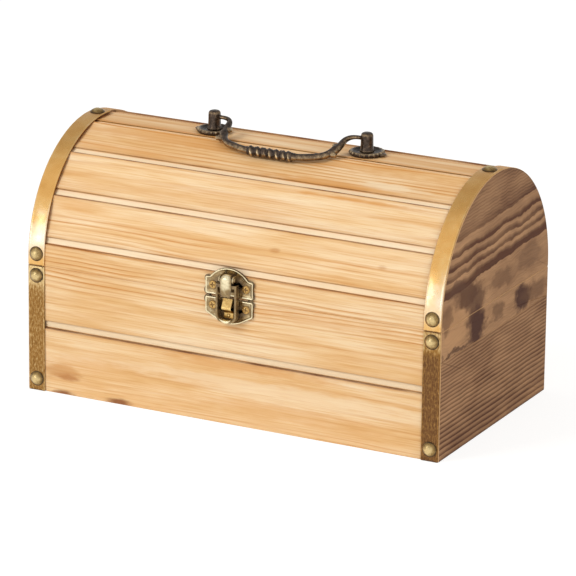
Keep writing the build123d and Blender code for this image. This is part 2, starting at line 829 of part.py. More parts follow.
# Half of the bail's path in its own plane, as corners with the radius of each bend
bail_corners = [
    (bail_arm, 0),
    (bail_arm, bail_arm_length),
    (bail_arm - bail_knee_inset, bail_knee_reach),
    (bail_bar_width / 2, bail_reach),
]
bail_bends = [bail_shoulder_radius, bail_elbow_radius, bail_knee_radius, bail_bar_radius]
swell_point = (bail_arm - bail_knee_inset / 2, (bail_arm_length + bail_knee_reach) / 2)
leaf_tips = [(swell_point, outer_leaf_turn), ((bail_arm, inner_leaf_reach), inner_leaf_turn)]
half_grip = grip_bead_count * grip_bead_length / 2


def both_ways(points):
    """The points and then their mirror images in reverse order."""
    return points + [(-x, y) for x, y in reversed(points)]


# Bail: thin stems from the posts, a thicker bar from leaf to leaf, and a beaded grip
with BuildPart() as handle_bail:
    with BuildLine(bail_plane) as stem_line:
        FilletPolyline(*both_ways([(bail_end, 0), *bail_corners]), radius=bail_bends + bail_bends[::-1])
    with BuildSketch(Plane(origin=(bail_end, 0, pivot_height), z_dir=(-1, 0, 0))):
        Circle(stem_radius)
    sweep(path=stem_line.wire())
    with BuildLine(bail_plane) as bar_line:
        FilletPolyline(*both_ways([swell_point, *bail_corners[2:]]), radius=bail_bends[2:] + bail_bends[:1:-1])
    with BuildSketch(Plane(origin=bar_line.wire() @ 0, z_dir=bar_line.wire() % 0)):
        Circle(bail_radius)
    sweep(path=bar_line.wire())
    for side in sides.values():
        with BuildSketch(Plane(origin=(side * bail_end, 0, pivot_height), z_dir=(side, 0, 0))):
            Circle(trunnion_radius)
        extrude(amount=bail_end_gap + trunnion_depth)
        for (x, reach), turn in leaf_tips:
            foot = bail_plane.from_local_coords((side * x, reach, 0))
            tip = bail_plane.from_local_coords((side * (x + cos(radians(turn))), reach + sin(radians(turn)), 0))
            with BuildSketch(Plane(origin=foot, z_dir=tip - foot)):
                Circle(leaf_tip_radius)
            extrude(amount=leaf_tip_length, taper=leaf_tip_taper)
    with BuildSketch(bail_plane):
        with BuildLine():
            for bead in range(grip_bead_count):
                start = bead * grip_bead_length - half_grip
                shoulder = grip_bead_length * (1 - grip_crown_share) / 2
                Polyline(
                    (start, bail_reach + grip_groove_radius),
                    (start + shoulder, bail_reach + grip_radius),
                    (start + grip_bead_length - shoulder, bail_reach + grip_radius),
                    (start + grip_bead_length, bail_reach + grip_groove_radius),
                )
            Polyline(
                (half_grip, bail_reach + grip_groove_radius),
                (half_grip, bail_reach),
                (-half_grip, bail_reach),
                (-half_grip, bail_reach + grip_groove_radius),
            )
        make_face()
    revolve(axis=Axis(bail_plane.from_local_coords((0, bail_reach, 0)), (1, 0, 0)))
save(handle_bail, "handle_bail")
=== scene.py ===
"""Looks of a wooden treasure chest: pine planks, scorched ends, gilt straps, nails, latch, hinges and handle.

A shape is a stack of closed rings, worked out as arrays: an outline that is moved inwards step by step, or a
section that is carried along a path. Lengths are in millimetres and become metres where a mesh is made.
"""

from math import cos, inf, pi, radians, sin, tan

import bpy
import numpy as np
from mathutils import Matrix, Vector


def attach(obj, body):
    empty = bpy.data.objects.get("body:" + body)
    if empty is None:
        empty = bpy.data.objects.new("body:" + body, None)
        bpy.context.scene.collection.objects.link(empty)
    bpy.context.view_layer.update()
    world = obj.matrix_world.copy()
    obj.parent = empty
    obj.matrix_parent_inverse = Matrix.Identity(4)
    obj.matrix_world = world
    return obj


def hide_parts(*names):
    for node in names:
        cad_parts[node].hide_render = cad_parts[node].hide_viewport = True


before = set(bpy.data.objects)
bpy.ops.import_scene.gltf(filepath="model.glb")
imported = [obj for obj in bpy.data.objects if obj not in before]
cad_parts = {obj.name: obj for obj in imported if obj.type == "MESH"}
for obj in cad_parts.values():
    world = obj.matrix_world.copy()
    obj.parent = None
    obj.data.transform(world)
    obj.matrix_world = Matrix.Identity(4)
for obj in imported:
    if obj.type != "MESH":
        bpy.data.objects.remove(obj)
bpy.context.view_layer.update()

MM = 0.001
FRONT, BACK = -1, 1
SIDES = {"left": -1, "right": 1}
X_AXIS, Y_AXIS, Z_AXIS = np.eye(3)
QUARTER_LEFT = np.array([[0, 1], [-1, 0]])

# Sizes of the chest, as in the CAD
half_length, half_depth, end_inner = 150.0, 82.0, 140.0
seam, arch_base, end_joint, wall_joint = 86.0, 89.0, 66.0, 44.0
plank_face, plank_thickness, bottom_thickness = 81.7, 6.0, 5.0
lap_width, lap_depth = 4.8, 1.2
shoulder_angle, slat_count = 8.6, 7
slat_angle = (180 - 2 * shoulder_angle) / slat_count
slat_slope = tan(radians(slat_angle / 2))
slat_face = plank_face * cos(radians(slat_angle / 2))
slat_width = 2 * slat_face * slat_slope
lid_top = arch_base + slat_face
strap_center, strap_width, strap_face = 143.5, 12.0, half_depth + 0.6

# Camera, fitted to the photograph
turn, tilt, roll = radians(27.108), radians(17.413), radians(-0.697)
distance, shift_level, shift_up = 2.7544, 0.000163, -0.066855
picture_pixels, pixels_per_metre, sensor = 576, 1507.6, 36.0
level = Vector((cos(turn), sin(turn), 0))
upward = Vector((-sin(turn) * sin(tilt), cos(turn) * sin(tilt), cos(tilt)))
back = level.cross(upward)
picture_right = level * cos(roll) - upward * sin(roll)
picture_up = level * sin(roll) + upward * cos(roll)
camera = bpy.data.objects.new("camera", bpy.data.cameras.new("camera"))
camera.data.sensor_width = sensor
camera.data.lens = sensor * pixels_per_metre * distance / picture_pixels
camera.data.clip_end = 100.0
place = back * distance - level * shift_level - upward * shift_up
axes = Matrix((picture_right, picture_up, back)).transposed().to_4x4()
camera.matrix_world = Matrix.Translation(place) @ axes
bpy.context.scene.collection.objects.link(camera)
bpy.context.scene.camera = camera
bpy.context.scene.view_settings.view_transform = "Standard"


# Shapes
def unit(v):
    """Vectors over their lengths."""
    return v / np.maximum(np.linalg.norm(v, axis=-1, keepdims=True), 1e-9)


def around(count):
    """Angles of a full turn in even steps."""
    return np.linspace(0, 2 * pi, count, endpoint=False)


def smooth_step(v):
    """0 below 0, 1 above 1, and the cubic 3 v squared - 2 v cubed between."""
    v = np.clip(v, 0, 1)
    return v * v * (3 - 2 * v)


def fuller(wave, power):
    """A cosine or sine with its size to a power below 1, which fills a round section out to a squarer one."""
    return np.sign(wave) * np.abs(wave) ** power


def ripple(x, seed, size):
    """Slow waviness along x: three sines of unrelated lengths, with phases from the seed."""
    waves = np.sin(x / 23 + seed) + 0.6 * np.sin(x / 9.7 + 2.1 * seed) + 0.3 * np.sin(x / 4.1 + 3.7 * seed)
    return size * waves / 1.9


def run(path):
    """Length along a path up to each of its points: the sum of the steps before it."""
    return np.append(0, np.cumsum(np.linalg.norm(np.diff(path, axis=0), axis=1)))


def at_lengths(path, lengths):
    """Points of a path at these lengths along it, straight between its own points."""
    return np.column_stack([np.interp(lengths, run(path), p) for p in path.T])


def corner_curve(corner, before, after, reach, count):
    """Quadratic curve at each corner, which starts and ends at reach along the sides before and after it."""
    t = np.linspace(0, 1, count)[None, :, None]
    start, end = corner + reach * before, corner + reach * after
    return (1 - t) ** 2 * start + 2 * t * (1 - t) * corner + t**2 * end


def oblong(left, low, right, high):
    """Corners of a rectangle, anticlockwise."""
    return [(left, low), (right, low), (right, high), (left, high)]


def rounded(corners, radius, support=0.4):
    """Closed outline whose corners give way to quadratic curves between the points at radius on both sides.
    One more point past each end keeps the flat sides flat in the light."""
    c = np.array(corners, float)[:, None]
    r = np.broadcast_to(np.asarray(radius, float), len(c))[:, None, None]
    before, after = unit(np.roll(c, 1, 0) - c), unit(np.roll(c, -1, 0) - c)
    curve = corner_curve(c, before, after, r, 4)
    return np.concatenate([c + (r + support) * before, curve, c + (r + support) * after], 1).reshape(-1, 2)


def bent(corners, reach, count):
    """Open path with a quadratic curve at each inner corner that starts and ends at reach, evenly spaced."""
    c = np.array(corners, float)
    inner, r = c[1:-1, None], np.broadcast_to(np.asarray(reach, float), len(c) - 2)[:, None, None]
    curve = corner_curve(inner, unit(c[:-2, None] - inner), unit(c[2:, None] - inner), r, 9)
    line = np.vstack([c[:1], curve.reshape(-1, c.shape[1]), c[-1:]])
    return at_lengths(line, np.linspace(0, run(line)[-1], count))


def dense(outline, step):
    """The closed outline with more points, no further apart than step, put in by length along it."""
    loop = np.vstack([outline, outline[:1]])
    length = run(loop)
    stops = np.union1d(length, np.arange(0, length[-1], step))
    return at_lengths(loop, stops[np.append(np.diff(stops) > 0.02, False)])


def relaxed(p):
    """The closed outline with each point at a quarter of both neighbours and half of itself."""
    return (np.roll(p, 1, 0) + 2 * p + np.roll(p, -1, 0)) / 4


def softened(corners, step, passes):
    """The closed outline at even steps and relaxed some times, which rounds its corners."""
    loop = np.vstack([corners, corners[:1]])
    length = run(loop)[-1]
    p = at_lengths(loop, np.linspace(0, length, int(length / step), endpoint=False))
    for _ in range(passes):
        p = relaxed(p)
    return p


def bow_through(start, top, end, count=25):
    """Points of the circle through three points, the middle one above the middle of the chord."""
    half, sag = (end[0] - start[0]) / 2, top[1] - start[1]
    r = (half**2 + sag**2) / (2 * sag)
    a = np.linspace(-1, 1, count) * np.arcsin(half / r)
    return np.column_stack([top[0] + r * np.sin(a), top[1] - r + r * np.cos(a)])


def way_round(outline):
    """1 for an outline that runs anticlockwise, and -1 for the other way: the sign of its area."""
    x, y = outline.T
    return np.sign(np.sum(x * np.roll(y, -1) - y * np.roll(x, -1)))


def inset(outline, distance):
    """The closed outline moved inwards: each point goes along the sum of its sides' normals, to the mitre."""
    ahead, behind = unit(np.roll(outline, -1, 0) - outline), unit(outline - np.roll(outline, 1, 0))
    n = way_round(outline) * ((ahead + behind) @ QUARTER_LEFT)
    return outline + distance * 2 * n / np.sum(n * n, 1, keepdims=True)


def slab(outline, steps):
    """Rings of a flat piece: the outline moved inwards and lifted as each step (inset, height) says."""
    return np.stack([np.column_stack([inset(outline, i), np.full(len(outline), h)]) for i, h in steps])


def arris(low, high, radius, support=0.4):
    """Steps of a slab between two heights, with quarter circles for edges and a flat step inside each."""
    quarter = [(radius * (1 - sin(a)), radius * (1 - cos(a))) for a in np.linspace(0, pi / 2, 4)]
    lower = [(radius + support, low)] + [(i, low + h) for i, h in quarter]
    return lower + [(i, high - h) for i, h in quarter[::-1]] + [(radius + support, high)]


def faced(rings):
    """Adds a ring close inside each end face of a slab, which keeps the face flat in the light."""
    flat = rings[..., :2].reshape(-1, 2)
    middle = np.append((flat.min(0) + flat.max(0)) / 2, 0)
    first, last = (middle + (rings[[k]] - middle) * (0.97, 0.97, 1) for k in (0, -1))
    return np.concatenate([first, rings, last])


def lathe(profile, count):
    """Rings of a turned piece: radius times cosine and sine of the turn, and height, at each profile point."""
    r, h = np.array(profile, float).T[..., None]
    a = around(count)
    return np.stack([r * np.cos(a), r * np.sin(a), h + 0 * a], -1)


def sweep(path, section, side):
    """A section carried along a flat path: first coordinate along the path's normal, second along side."""
    tangent = unit(np.gradient(path, axis=0))
    normal = unit(np.cross(side, tangent))
    return path[:, None] + section[..., :1] * normal[:, None] + section[..., 1:] * np.asarray(side, float)


def put_at(rings, origin, u=X_AXIS, v=Y_AXIS, w=Z_AXIS):
    """Rings carried to a place: first coordinate along u, second along v, third along w."""
    return np.asarray(origin, float) + rings @ np.array([u, v, w], float)


def turned(rings, angle):
    """Rings turned about their own axis: x and y mixed by the angle's cosine and sine."""
    return rings @ np.array([[cos(angle), sin(angle), 0], [-sin(angle), cos(angle), 0], [0, 0, 1]])


def put(name, shells, looks, body, node, **values):
    """Makes one mesh piece from shells, each a stack of closed rings with a fan over both end rings.
    Faces are turned outwards by the sign of the shell's volume. Values are one array or number a shell."""
    points, faces, start = [], [], 0
    for rings in shells:
        m, n = rings.shape[:2]
        i = np.arange((m - 1) * n).reshape(m - 1, n)
        j = np.roll(i, -1, 1)
        quads = np.stack([i, j, j + n, i + n], -1).reshape(-1, 4)
        ring = np.arange(n)
        after = np.roll(ring, -1)
        low = np.stack([np.full(n, m * n), after, ring], 1)
        high = np.stack([np.full(n, m * n + 1), ring + (m - 1) * n, after + (m - 1) * n], 1)
        p = np.vstack([rings.reshape(-1, 3), rings[0].mean(0), rings[-1].mean(0)])
        a, b, c = p[np.vstack([quads[:, :3], quads[:, [0, 2, 3]], low, high])].transpose(1, 0, 2)
        way = 1 if np.sum(a * np.cross(b, c)) > 0 else -1
        faces += (quads[:, ::way] + start).tolist() + (np.vstack([low, high])[:, ::way] + start).tolist()
        points.append(p)
        start += len(p)
    mesh = bpy.data.meshes.new(name)
    mesh.from_pydata((np.vstack(points) * MM).tolist(), [], faces)
    mesh.shade_smooth()
    for key, given in values.items():
        full = []
        for rings, value in zip(shells, given):
            m, n = rings.shape[:2]
            grid = np.broadcast_to(value, (m, n, *np.shape(value)[2:]))
            full += [grid.reshape(m * n, -1), *(grid[k].mean(0).reshape(1, -1) for k in (0, -1))]
        full = np.vstack(full)
        kind, field = ("FLOAT_VECTOR", "vector") if full.shape[1] == 3 else ("FLOAT", "value")
        mesh.attributes.new(key, kind, "POINT").data.foreach_set(field, full.astype(np.float32).ravel())
    mesh.materials.append(looks[0])
    piece = bpy.data.objects.new(name, mesh)
    bpy.context.scene.collection.objects.link(piece)
    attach(piece, body)
    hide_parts(node)


# Materials
def linear(code):
    """sRGB hex to linear: ((c + 0.055) / 1.055) to the power 2.4, or c / 12.92 for the darkest."""
    c = np.array([int(code[k:k + 2], 16) / 255 for k in (1, 3, 5)])
    return (*np.where(c > 0.04045, ((c + 0.055) / 1.055) ** 2.4, c / 12.92), 1.0)


def add(tree, kind, inputs=(), stops=(), **settings):
    """Adds a node with its properties, colour stops, inputs and links, and returns its first output. Inputs
    are a dict, or a list from the first socket on: for MapRange a value, its old range and its new one."""
    node = tree.nodes.new("ShaderNode" + kind)
    for key, value in settings.items():
        setattr(node, key, value)
    for k, (position, color) in enumerate(stops):
        elements = node.color_ramp.elements
        element = elements[k] if k < 2 else elements.new(position)
        element.position = position
        element.color = linear(color) if isinstance(color, str) else (color, color, color, 1)
    for key, value in inputs.items() if isinstance(inputs, dict) else enumerate(inputs):
        if isinstance(value, bpy.types.NodeSocket):
            tree.links.new(value, node.inputs[key])
        else:
            node.inputs[key].default_value = linear(value) if isinstance(value, str) else value
    return next((out for out in node.outputs if out.enabled), None)


def finish(name, slot, build, *details, **more):
    """A node material with the name of its slot: build adds the nodes to its tree and returns the surface."""
    material = bpy.data.materials.new(name)
    material.use_nodes = True
    material.node_tree.nodes.clear()
    surface = build(material.node_tree, *details, **more)
    add(material.node_tree, "OutputMaterial", [surface])
    return material, slot


def waver(t, place, sizes, span=None, reach=None, shift=(0, 0, 0), **settings):
    """Unevenness whose waves have these sizes, in the unit of the place. Its span is spread over reach."""
    waves = add(t, "Mapping", {"Vector": place, "Scale": [1 / s for s in sizes], "Location": shift})
    waves = add(t, "TexNoise", {"Vector": waves, "Scale": 1.0, **settings})
    if span:
        waves = add(t, "MapRange", [waves, *span, *reach])
    return waves


def stain(t, wood, place, middle, half_sizes, bounds, strength, color, edge=0.0, within=1.0):
    """The wood with a colour over a soft ellipse: the distance from its middle in half sizes, plus an uneven
    edge, goes from full strength at the first bound to none at the second. It counts where within is 1."""
    scale = [1 / s for s in half_sizes]
    shift = [-m * s for m, s in zip(middle, scale)]
    near = add(t, "Mapping", {"Vector": place, "Location": shift, "Scale": scale})
    near = add(t, "VectorMath", [near], operation="LENGTH")
    near = add(t, "Math", [near, edge], operation="ADD")
    near = add(t, "MapRange", [near, bounds[0], bounds[1], strength, 0.0], interpolation_type="SMOOTHSTEP")
    near = add(t, "Math", [near, within], operation="MULTIPLY")
    return add(t, "Mix", {0: near, 6: wood, 7: color}, data_type="RGBA")


# Knots and warm spots: seed of the plank, x, height on it, half length, half height, strength, colour
SPOTS = [(1, -126, 15.5, 16, 6, 0.7, "#CB8F50"), (1, -119, 12.5, 10, 3, 0.7, "#B87638"),
         (1, -110, 24, 34, 8, 0.35, "#E2A968"), (1, -124, 0, 9, 3, 0.9, "#8A4F26"),
         (1, -82, 0, 11, 4.5, 0.9, "#8A4F26"), (1, 20, 28, 150, 5, 0.55, "#F9E0BC"),
         (1, 10, 40.5, 75, 3.5, 0.6, "#DDA05C"), (1, 36, 14, 80, 7, 0.4, "#DFA665"),
         (3, 60, 36, 90, 4, 0.4, "#DDA05C"), (9, 28, 19.6, 4, 2, 0.5, "#C07E40"),
         (9, 104, 19.6, 4, 2, 0.4, "#C07E40"),
         (9, -118, 27, 24, 6, 0.4, "#E0A664"), (10, 68, 29, 50, 1.5, 0.8, "#D9994F"),
         (11, 50, 6.5, 60, 4.5, 0.8, "#DC9F58"), (11, -40, 26, 200, 6, 0.6, "#D99C56"),
         (11, 90, 12, 26, 4, 0.7, "#F8E2BE"), (11, -110, 9, 50, 5, 0.5, "#E2A55E")]
# Distance between the grain of one plank and of the next
GRAIN_SHIFT = 700.0


def plank_pine(t):
    """Pine, sawn along and varnished: soft straight summer rings, as circles about the heart of the log, on a
    cream ground with long warm patches. Wood is toasted brown beside the laps, and pale in them."""
    ring_gap, bump_depth = 2.5, 0.1
    grain, heart, toast, stripes = (
        add(t, "Attribute", attribute_name=name).node.outputs[output]
        for name, output in (("grain", "Vector"), ("heart", "Vector"), ("toast", "Fac"), ("stripes", "Fac")))
    place = add(t, "SeparateXYZ", [grain]).node.outputs
    middle = add(t, "SeparateXYZ", [heart]).node.outputs
    across = add(t, "Math", [place["Y"], middle["X"]], operation="SUBTRACT")
    sway = waver(t, grain, (170, 60, 60), (0.25, 0.75), (-2.6, 2.6), Detail=1.0, Roughness=0.4)
    for bend in sway, waver(t, grain, (34, 12, 12), (0, 1), (-0.6, 0.6)):
        across = add(t, "Math", [across, bend], operation="ADD")
    deep = add(t, "Math", [place["Z"], middle["Y"]], operation="ADD")
    squared = add(t, "Math", [deep, deep], operation="MULTIPLY")
    squared = add(t, "Math", [across, across, squared], operation="MULTIPLY_ADD")
    radius = add(t, "Math", [squared], operation="SQRT")
    ring = add(t, "Math", [radius, 1 / ring_gap], operation="MULTIPLY")
    ring = add(t, "Math", [ring], operation="FRACT")
    line = add(t, "ValToRGB", [ring], [
        (0.0, 0.5), (0.12, 0.05), (0.4, 0.0), (0.72, 0.35), (0.9, 1.0), (1.0, 0.5)])
    some = add(t, "TexNoise", {"W": radius, "Scale": 0.13, "Detail": 3.0}, noise_dimensions="1D")
    some = add(t, "Math", [some, waver(t, grain, (95, 10, 10))], operation="ADD")
    some = add(t, "MapRange", [some, 0.82, 1.25, 0, 0.95])
    line = add(t, "Math", [line, some], operation="MULTIPLY")
    line = add(t, "Math", [line, stripes], operation="MULTIPLY", use_clamp=True)
    along = add(t, "CombineXYZ", [place["X"], across, middle["X"]])
    patch = waver(t, along, (110, 11, 11), shift=(9, 4, 2), Detail=3.0, Roughness=0.55, Distortion=0.3)
    patch = add(t, "Math", [patch, middle["Z"]], operation="ADD")
    ground = add(t, "ValToRGB", [patch], [
        (0.3, "#FAE4C2"), (0.48, "#F5D6AA"), (0.63, "#ECC48E"), (0.8, "#DFAC6B")])
    wood = add(t, "Mix", {0: line, 6: ground, 7: "#D6954C"}, data_type="RGBA")
    fibre = waver(t, grain, (40, 0.9, 0.9), Detail=3.0, Roughness=0.65)
    shade = add(t, "ValToRGB", [fibre], [(0.33, "#F1DFC6"), (0.5, "#FCF6EC"), (0.66, 1.0)])
    wood = add(t, "Mix", {0: 1.0, 6: wood, 7: shade}, data_type="RGBA", blend_type="MULTIPLY")
    edge = waver(t, grain, (14, 3.5, 3.5), Detail=3.0)
    edge = add(t, "Math", [edge, 1.5], operation="MULTIPLY")
    for seed, x, up, long, tall, dark, color in SPOTS:
        middle = (GRAIN_SHIFT * seed + x, up, 0)
        wood = stain(t, wood, grain, middle, (long, tall, inf), (1.0, 2.0), dark, color, edge)
    pale = add(t, "MapRange", [toast, 0, -1, 0, 0.6])
    wood = add(t, "Mix", {0: pale, 6: wood, 7: "#FFEDCE"}, data_type="RGBA")
    uneven = waver(t, grain, (34, 11, 11), (0.3, 0.7), (0.45, 1.15), (3, 8, 1))
    # The char colour also paints the shadow strip beside the straps.
    burnt_and_shaded = add(t, "Math", [toast, uneven], operation="MULTIPLY", use_clamp=True)
    char = add(t, "ValToRGB", [toast], [(0.3, "#C98840"), (0.7, "#A0642C"), (1.0, "#70421F")])
    wood = add(t, "Mix", {0: burnt_and_shaded, 6: wood, 7: char}, data_type="RGBA")
    relief = add(t, "Math", [fibre, line], operation="ADD")
    bump = add(t, "Bump", {"Height": relief, "Strength": 0.2, "Distance": bump_depth * MM})
    rough = add(t, "MapRange", [fibre, 0, 1, 0.45, 0.6])
    return add(t, "BsdfPrincipled", {"Base Color": wood, "Roughness": rough, "Normal": bump,
                                     "Specular IOR Level": 0.35, "Coat Weight": 0.08, "Coat Roughness": 0.3})


# Burnt blots on the end boards: y, z, half width, half height, strength, colour
BLOTS = [
    (-62, 84, 20, 16, 0.5, "#C4966A"), (-43, 101, 21, 8, 0.85, "#553524"), (-58, 108, 14, 4, 0.6, "#5E4030"),
    (-31, 91, 16, 11, 0.8, "#5C3D2B"), (-29, 76, 14, 14, 1.0, "#4E3024"), (-75, 92, 9, 8, 0.6, "#6E4D35"),
    (7, 98, 21, 6, 0.55, "#664631"), (50, 102, 20, 9, 0.5, "#684935"), (2, 77, 11, 6, 0.65, "#64452F"),
    (41, 75, 13, 9, 1.0, "#4E3024"), (60, 76, 22, 8, 0.6, "#6A4A34"), (-60, 67.5, 20, 1.8, 0.7, "#4C3024")]


def scorched_pine(t):
    """Pine that was browned with a flame and brushed: wavy dark rings with a sharp lower edge across the arch,
    tight straight ones on the lowest board, ragged burnt blots between them, and a black rim on the arch."""
    fine_gap, bump_depth = 2.15, 0.15
    toast = add(t, "Attribute", attribute_name="toast").node.outputs["Fac"]
    spot = add(t, "TexCoord").node.outputs["Object"]
    spot = add(t, "Mapping", {"Vector": spot, "Scale": [1 / MM] * 3})
    place = add(t, "SeparateXYZ", [spot]).node.outputs
    height = place["Z"]
    side = add(t, "Math", [place["X"]], operation="SIGN")
    lane = add(t, "Math", [side, end_inner], operation="MULTIPLY")
    flat = add(t, "CombineXYZ", [lane, place["Y"], height])
    above = add(t, "MapRange", [height, end_joint - 0.2, end_joint + 0.2])
    # Height along the rings: they sway above the joint, less towards the top, and run straight below it
    swing = add(t, "MapRange", [height, 136.0, 152.0, 10.0, 3.0])
    swing = add(t, "Mix", {0: above, 2: 2.0, 3: swing})
    sway = add(t, "Math", [waver(t, flat, (85, 40, 34)), 0.5], operation="SUBTRACT")
    level = add(t, "Math", [sway, swing, height], operation="MULTIPLY_ADD")
    ragged = waver(t, flat, (85, 9, 30), (0.3, 0.7), (-0.7, 0.7), Detail=3.0)
    share = add(t, "Mix", {0: above, 2: 0.2, 3: 1.0})
    level = add(t, "Math", [ragged, share, level], operation="MULTIPLY_ADD")
    slope = add(t, "Math", [above, -0.045], operation="MULTIPLY")
    slanted = add(t, "Math", [place["Y"], slope, level], operation="MULTIPLY_ADD")
    # Rings above the joint: five broad ones with sharp lower edges, and fine ones over them
    broad = add(t, "MapRange", [slanted, 100, 150])
    broad = add(t, "ValToRGB", [broad], [
        (0.0, 0.05), (0.172, 0.05), (0.182, 1.0), (0.25, 0.92), (0.29, 0.6), (0.32, 0.06), (0.36, 0.03),
        (0.37, 0.75), (0.4, 0.8), (0.43, 0.45), (0.455, 0.05), (0.482, 0.02), (0.492, 0.85), (0.53, 0.75),
        (0.56, 0.35), (0.585, 0.03), (0.618, 0.02), (0.628, 0.8), (0.66, 0.78), (0.69, 0.45), (0.72, 0.05),
        (0.76, 0.0), (0.822, 0.03), (0.834, 0.65), (0.88, 0.55), (0.93, 0.4), (1.0, 0.32)])
    fine = add(t, "Math", [level, 1 / fine_gap], operation="MULTIPLY")
    fine = add(t, "Math", [fine], operation="FRACT")
    fine = add(t, "ValToRGB", [fine], [(0.0, 0.3), (0.45, 0.0), (0.85, 0.02), (1.0, 0.3)])
    high = add(t, "MapRange", [level, 138.0, 150.0, 0.15, 1.0])
    dark = add(t, "Math", [fine, high, broad], operation="MULTIPLY_ADD")
    # Rings below the joint: their count grows with the square of the height, so that they tighten upwards
    tight = add(t, "Math", [level, 0.00164, 0.238], operation="MULTIPLY_ADD")
    tight = add(t, "Math", [tight, level], operation="MULTIPLY")
    tight = add(t, "Math", [tight], operation="FRACT")
    tight = add(t, "ValToRGB", [tight], [(0.0, 0.95), (0.3, 0.6), (0.55, 0.18), (0.85, 0.08), (1.0, 0.95)])
    deeper = add(t, "MapRange", [height, 62.0, 34.0, 0.7, 0.95])
    tight = add(t, "Math", [tight, deeper], operation="MULTIPLY")
    dark = add(t, "Mix", {0: above, 2: tight, 3: dark})
    cloud = waver(t, flat, (60, 45, 13), (0.35, 0.7), (-0.1, 0.35), (2, 5, 1), Detail=3.0, Distortion=0.4)
    dark = add(t, "Math", [dark, cloud], operation="ADD", use_clamp=True)
    wood = add(t, "Mix", {0: dark, 6: "#BB9069", 7: "#5E3925"}, data_type="RGBA")
    along = add(t, "CombineXYZ", [lane, place["Y"], slanted])
    fibre = waver(t, along, (50, 20, 0.7), Detail=3.0, Roughness=0.6)
    shade = add(t, "ValToRGB", [fibre], [(0.3, 0.72), (0.5, 0.9), (0.7, 1.0)])
    wood = add(t, "Mix", {0: 1.0, 6: wood, 7: shade}, data_type="RGBA", blend_type="MULTIPLY")
    torn = waver(t, flat, (40, 16, 11), Detail=4.0, Roughness=0.6).node.outputs["Color"]
    torn = add(t, "Mapping", {"Vector": torn, "Location": (0, -15, -9), "Scale": (0, 30, 18)})
    torn = add(t, "VectorMath", [flat, torn], operation="ADD")
    for y, z, wide, tall, strength, color in BLOTS:
        wood = stain(t, wood, torn, (0, y, z), (inf, wide, tall), (0.62, 1.25), strength, color, within=above)
    for full, color in (-1, "#CFA678"), (1, "#33261F"):
        share = add(t, "MapRange", [toast, 0, full])
        wood = add(t, "Mix", {0: share, 6: wood, 7: color}, data_type="RGBA")
    relief = add(t, "Math", [fibre, dark], operation="SUBTRACT")
    bump = add(t, "Bump", {"Height": relief, "Strength": 0.3, "Distance": bump_depth * MM})
    return add(t, "BsdfPrincipled", {"Base Color": wood, "Roughness": 0.65, "Normal": bump,
                                     "Specular IOR Level": 0.12})


def worn_metal(t, colors, rough, patches, bump_size=0.5, bump_depth=0.02, metallic=1.0, mottle=1.0):
    """Metal with a patchy patina: colours from noise with patches of a size in mm, and a fine bump, which also
    takes the roughness from low to high. An attribute on the points moves the colour towards the pale end of
    the ramp: patina, 0 in hollows and 1 on rubbed crowns, and on some pieces also painted highlight. Where it
    is low the metal is less metallic. Mottle is how far the noise moves it."""
    place = add(t, "TexCoord").node.outputs["Object"]
    crown = add(t, "Attribute", attribute_name="rise").node.outputs["Fac"]
    patch = waver(t, place, np.broadcast_to(patches, 3) * MM, Detail=4.0, Roughness=0.6)
    patch = add(t, "MapRange", [patch, 0, 1, 0.5 - mottle / 2, 0.5 + mottle / 2], clamp=False)
    patch = add(t, "Math", [patch, crown], operation="ADD")
    patch = add(t, "MapRange", [patch, 0.3, 1.7])
    color = add(t, "ValToRGB", [patch], colors)
    fine = add(t, "TexNoise", {"Vector": place, "Scale": 1 / (bump_size * MM), "Detail": 3.0})
    bump = add(t, "Bump", {"Height": fine, "Strength": 0.5, "Distance": bump_depth * MM})
    polish = add(t, "MapRange", [fine, 0.3, 0.7, rough[0], rough[1]])
    sheen = add(t, "MapRange", [crown, 0, 0.5, 0.4, metallic])
    return add(t, "BsdfPrincipled", {"Base Color": color, "Metallic": sheen, "Roughness": polish,
                                     "Normal": bump})


pine = finish("varnished_pine", "pine_plank", plank_pine)
scorched = finish("scorched_pine", "pine_end", scorched_pine)
# Thin steel sheet, gilt and polished: smooth orange gold with hardly a streak.
# The near-white end of its ramp is used for a painted highlight on the lid straps.
bright_gilt = finish("polished_gilt_steel", "gold_strap", worn_metal, [
    (0.3, "#D39C54"), (0.5, "#E2AE66"), (0.6, "#E8BA76"), (0.88, "#FAE8CA")],
    (0.24, 0.32), 14, bump_size=4, bump_depth=0.04, mottle=0.8)
# The same sheet with its lacquer rubbed through: brown with scratches, gold on its rims and at the upper nails.
# Its brown is partly rubbed lacquer and partly painted shade of the dark surroundings the lower straps reflect.
rubbed_and_shaded_gilt = finish("rubbed_and_shaded_gilt_steel", "gold_strap", worn_metal, [
    (0.1, "#54381B"), (0.3, "#724C27"), (0.5, "#A0763F"), (0.85, "#E9CC94")],
    (0.34, 0.5), (1.1, 1.1, 2.6), bump_size=1.1, bump_depth=0.06, mottle=1.2)
# Pressed brass with brown patina in the hollows and a rubbed crown
nail_brass = finish("antique_brass", "antique_nail", worn_metal, [
    (0.15, "#33261A"), (0.42, "#7A6038"), (0.6, "#9A7E50"), (0.85, "#D8BE88")], (0.2, 0.3), 3)
# Pressed brass plate, tumbled bright
latch_brass = finish("tumbled_brass", "latch_brass", worn_metal, [
    (0.02, "#4A3520"), (0.2, "#75624A"), (0.45, "#98805A"), (0.8, "#F0E2BC")], (0.2, 0.3), 4)
# Screws, rivet and catch: yellower brass
screw_brass = finish("yellow_brass", "latch_brass", worn_metal, [
    (0.2, "#8A683A"), (0.5, "#BE9658"), (0.85, "#EACB86")], (0.2, 0.34), 3)
# Rolled brass plate of the hinges, warm and even
hinge_brass = finish("rolled_brass", "hinge_brass", worn_metal, [
    (0.25, "#8C6A34"), (0.5, "#B78F4C"), (0.85, "#D8B878")], (0.28, 0.4), 4)
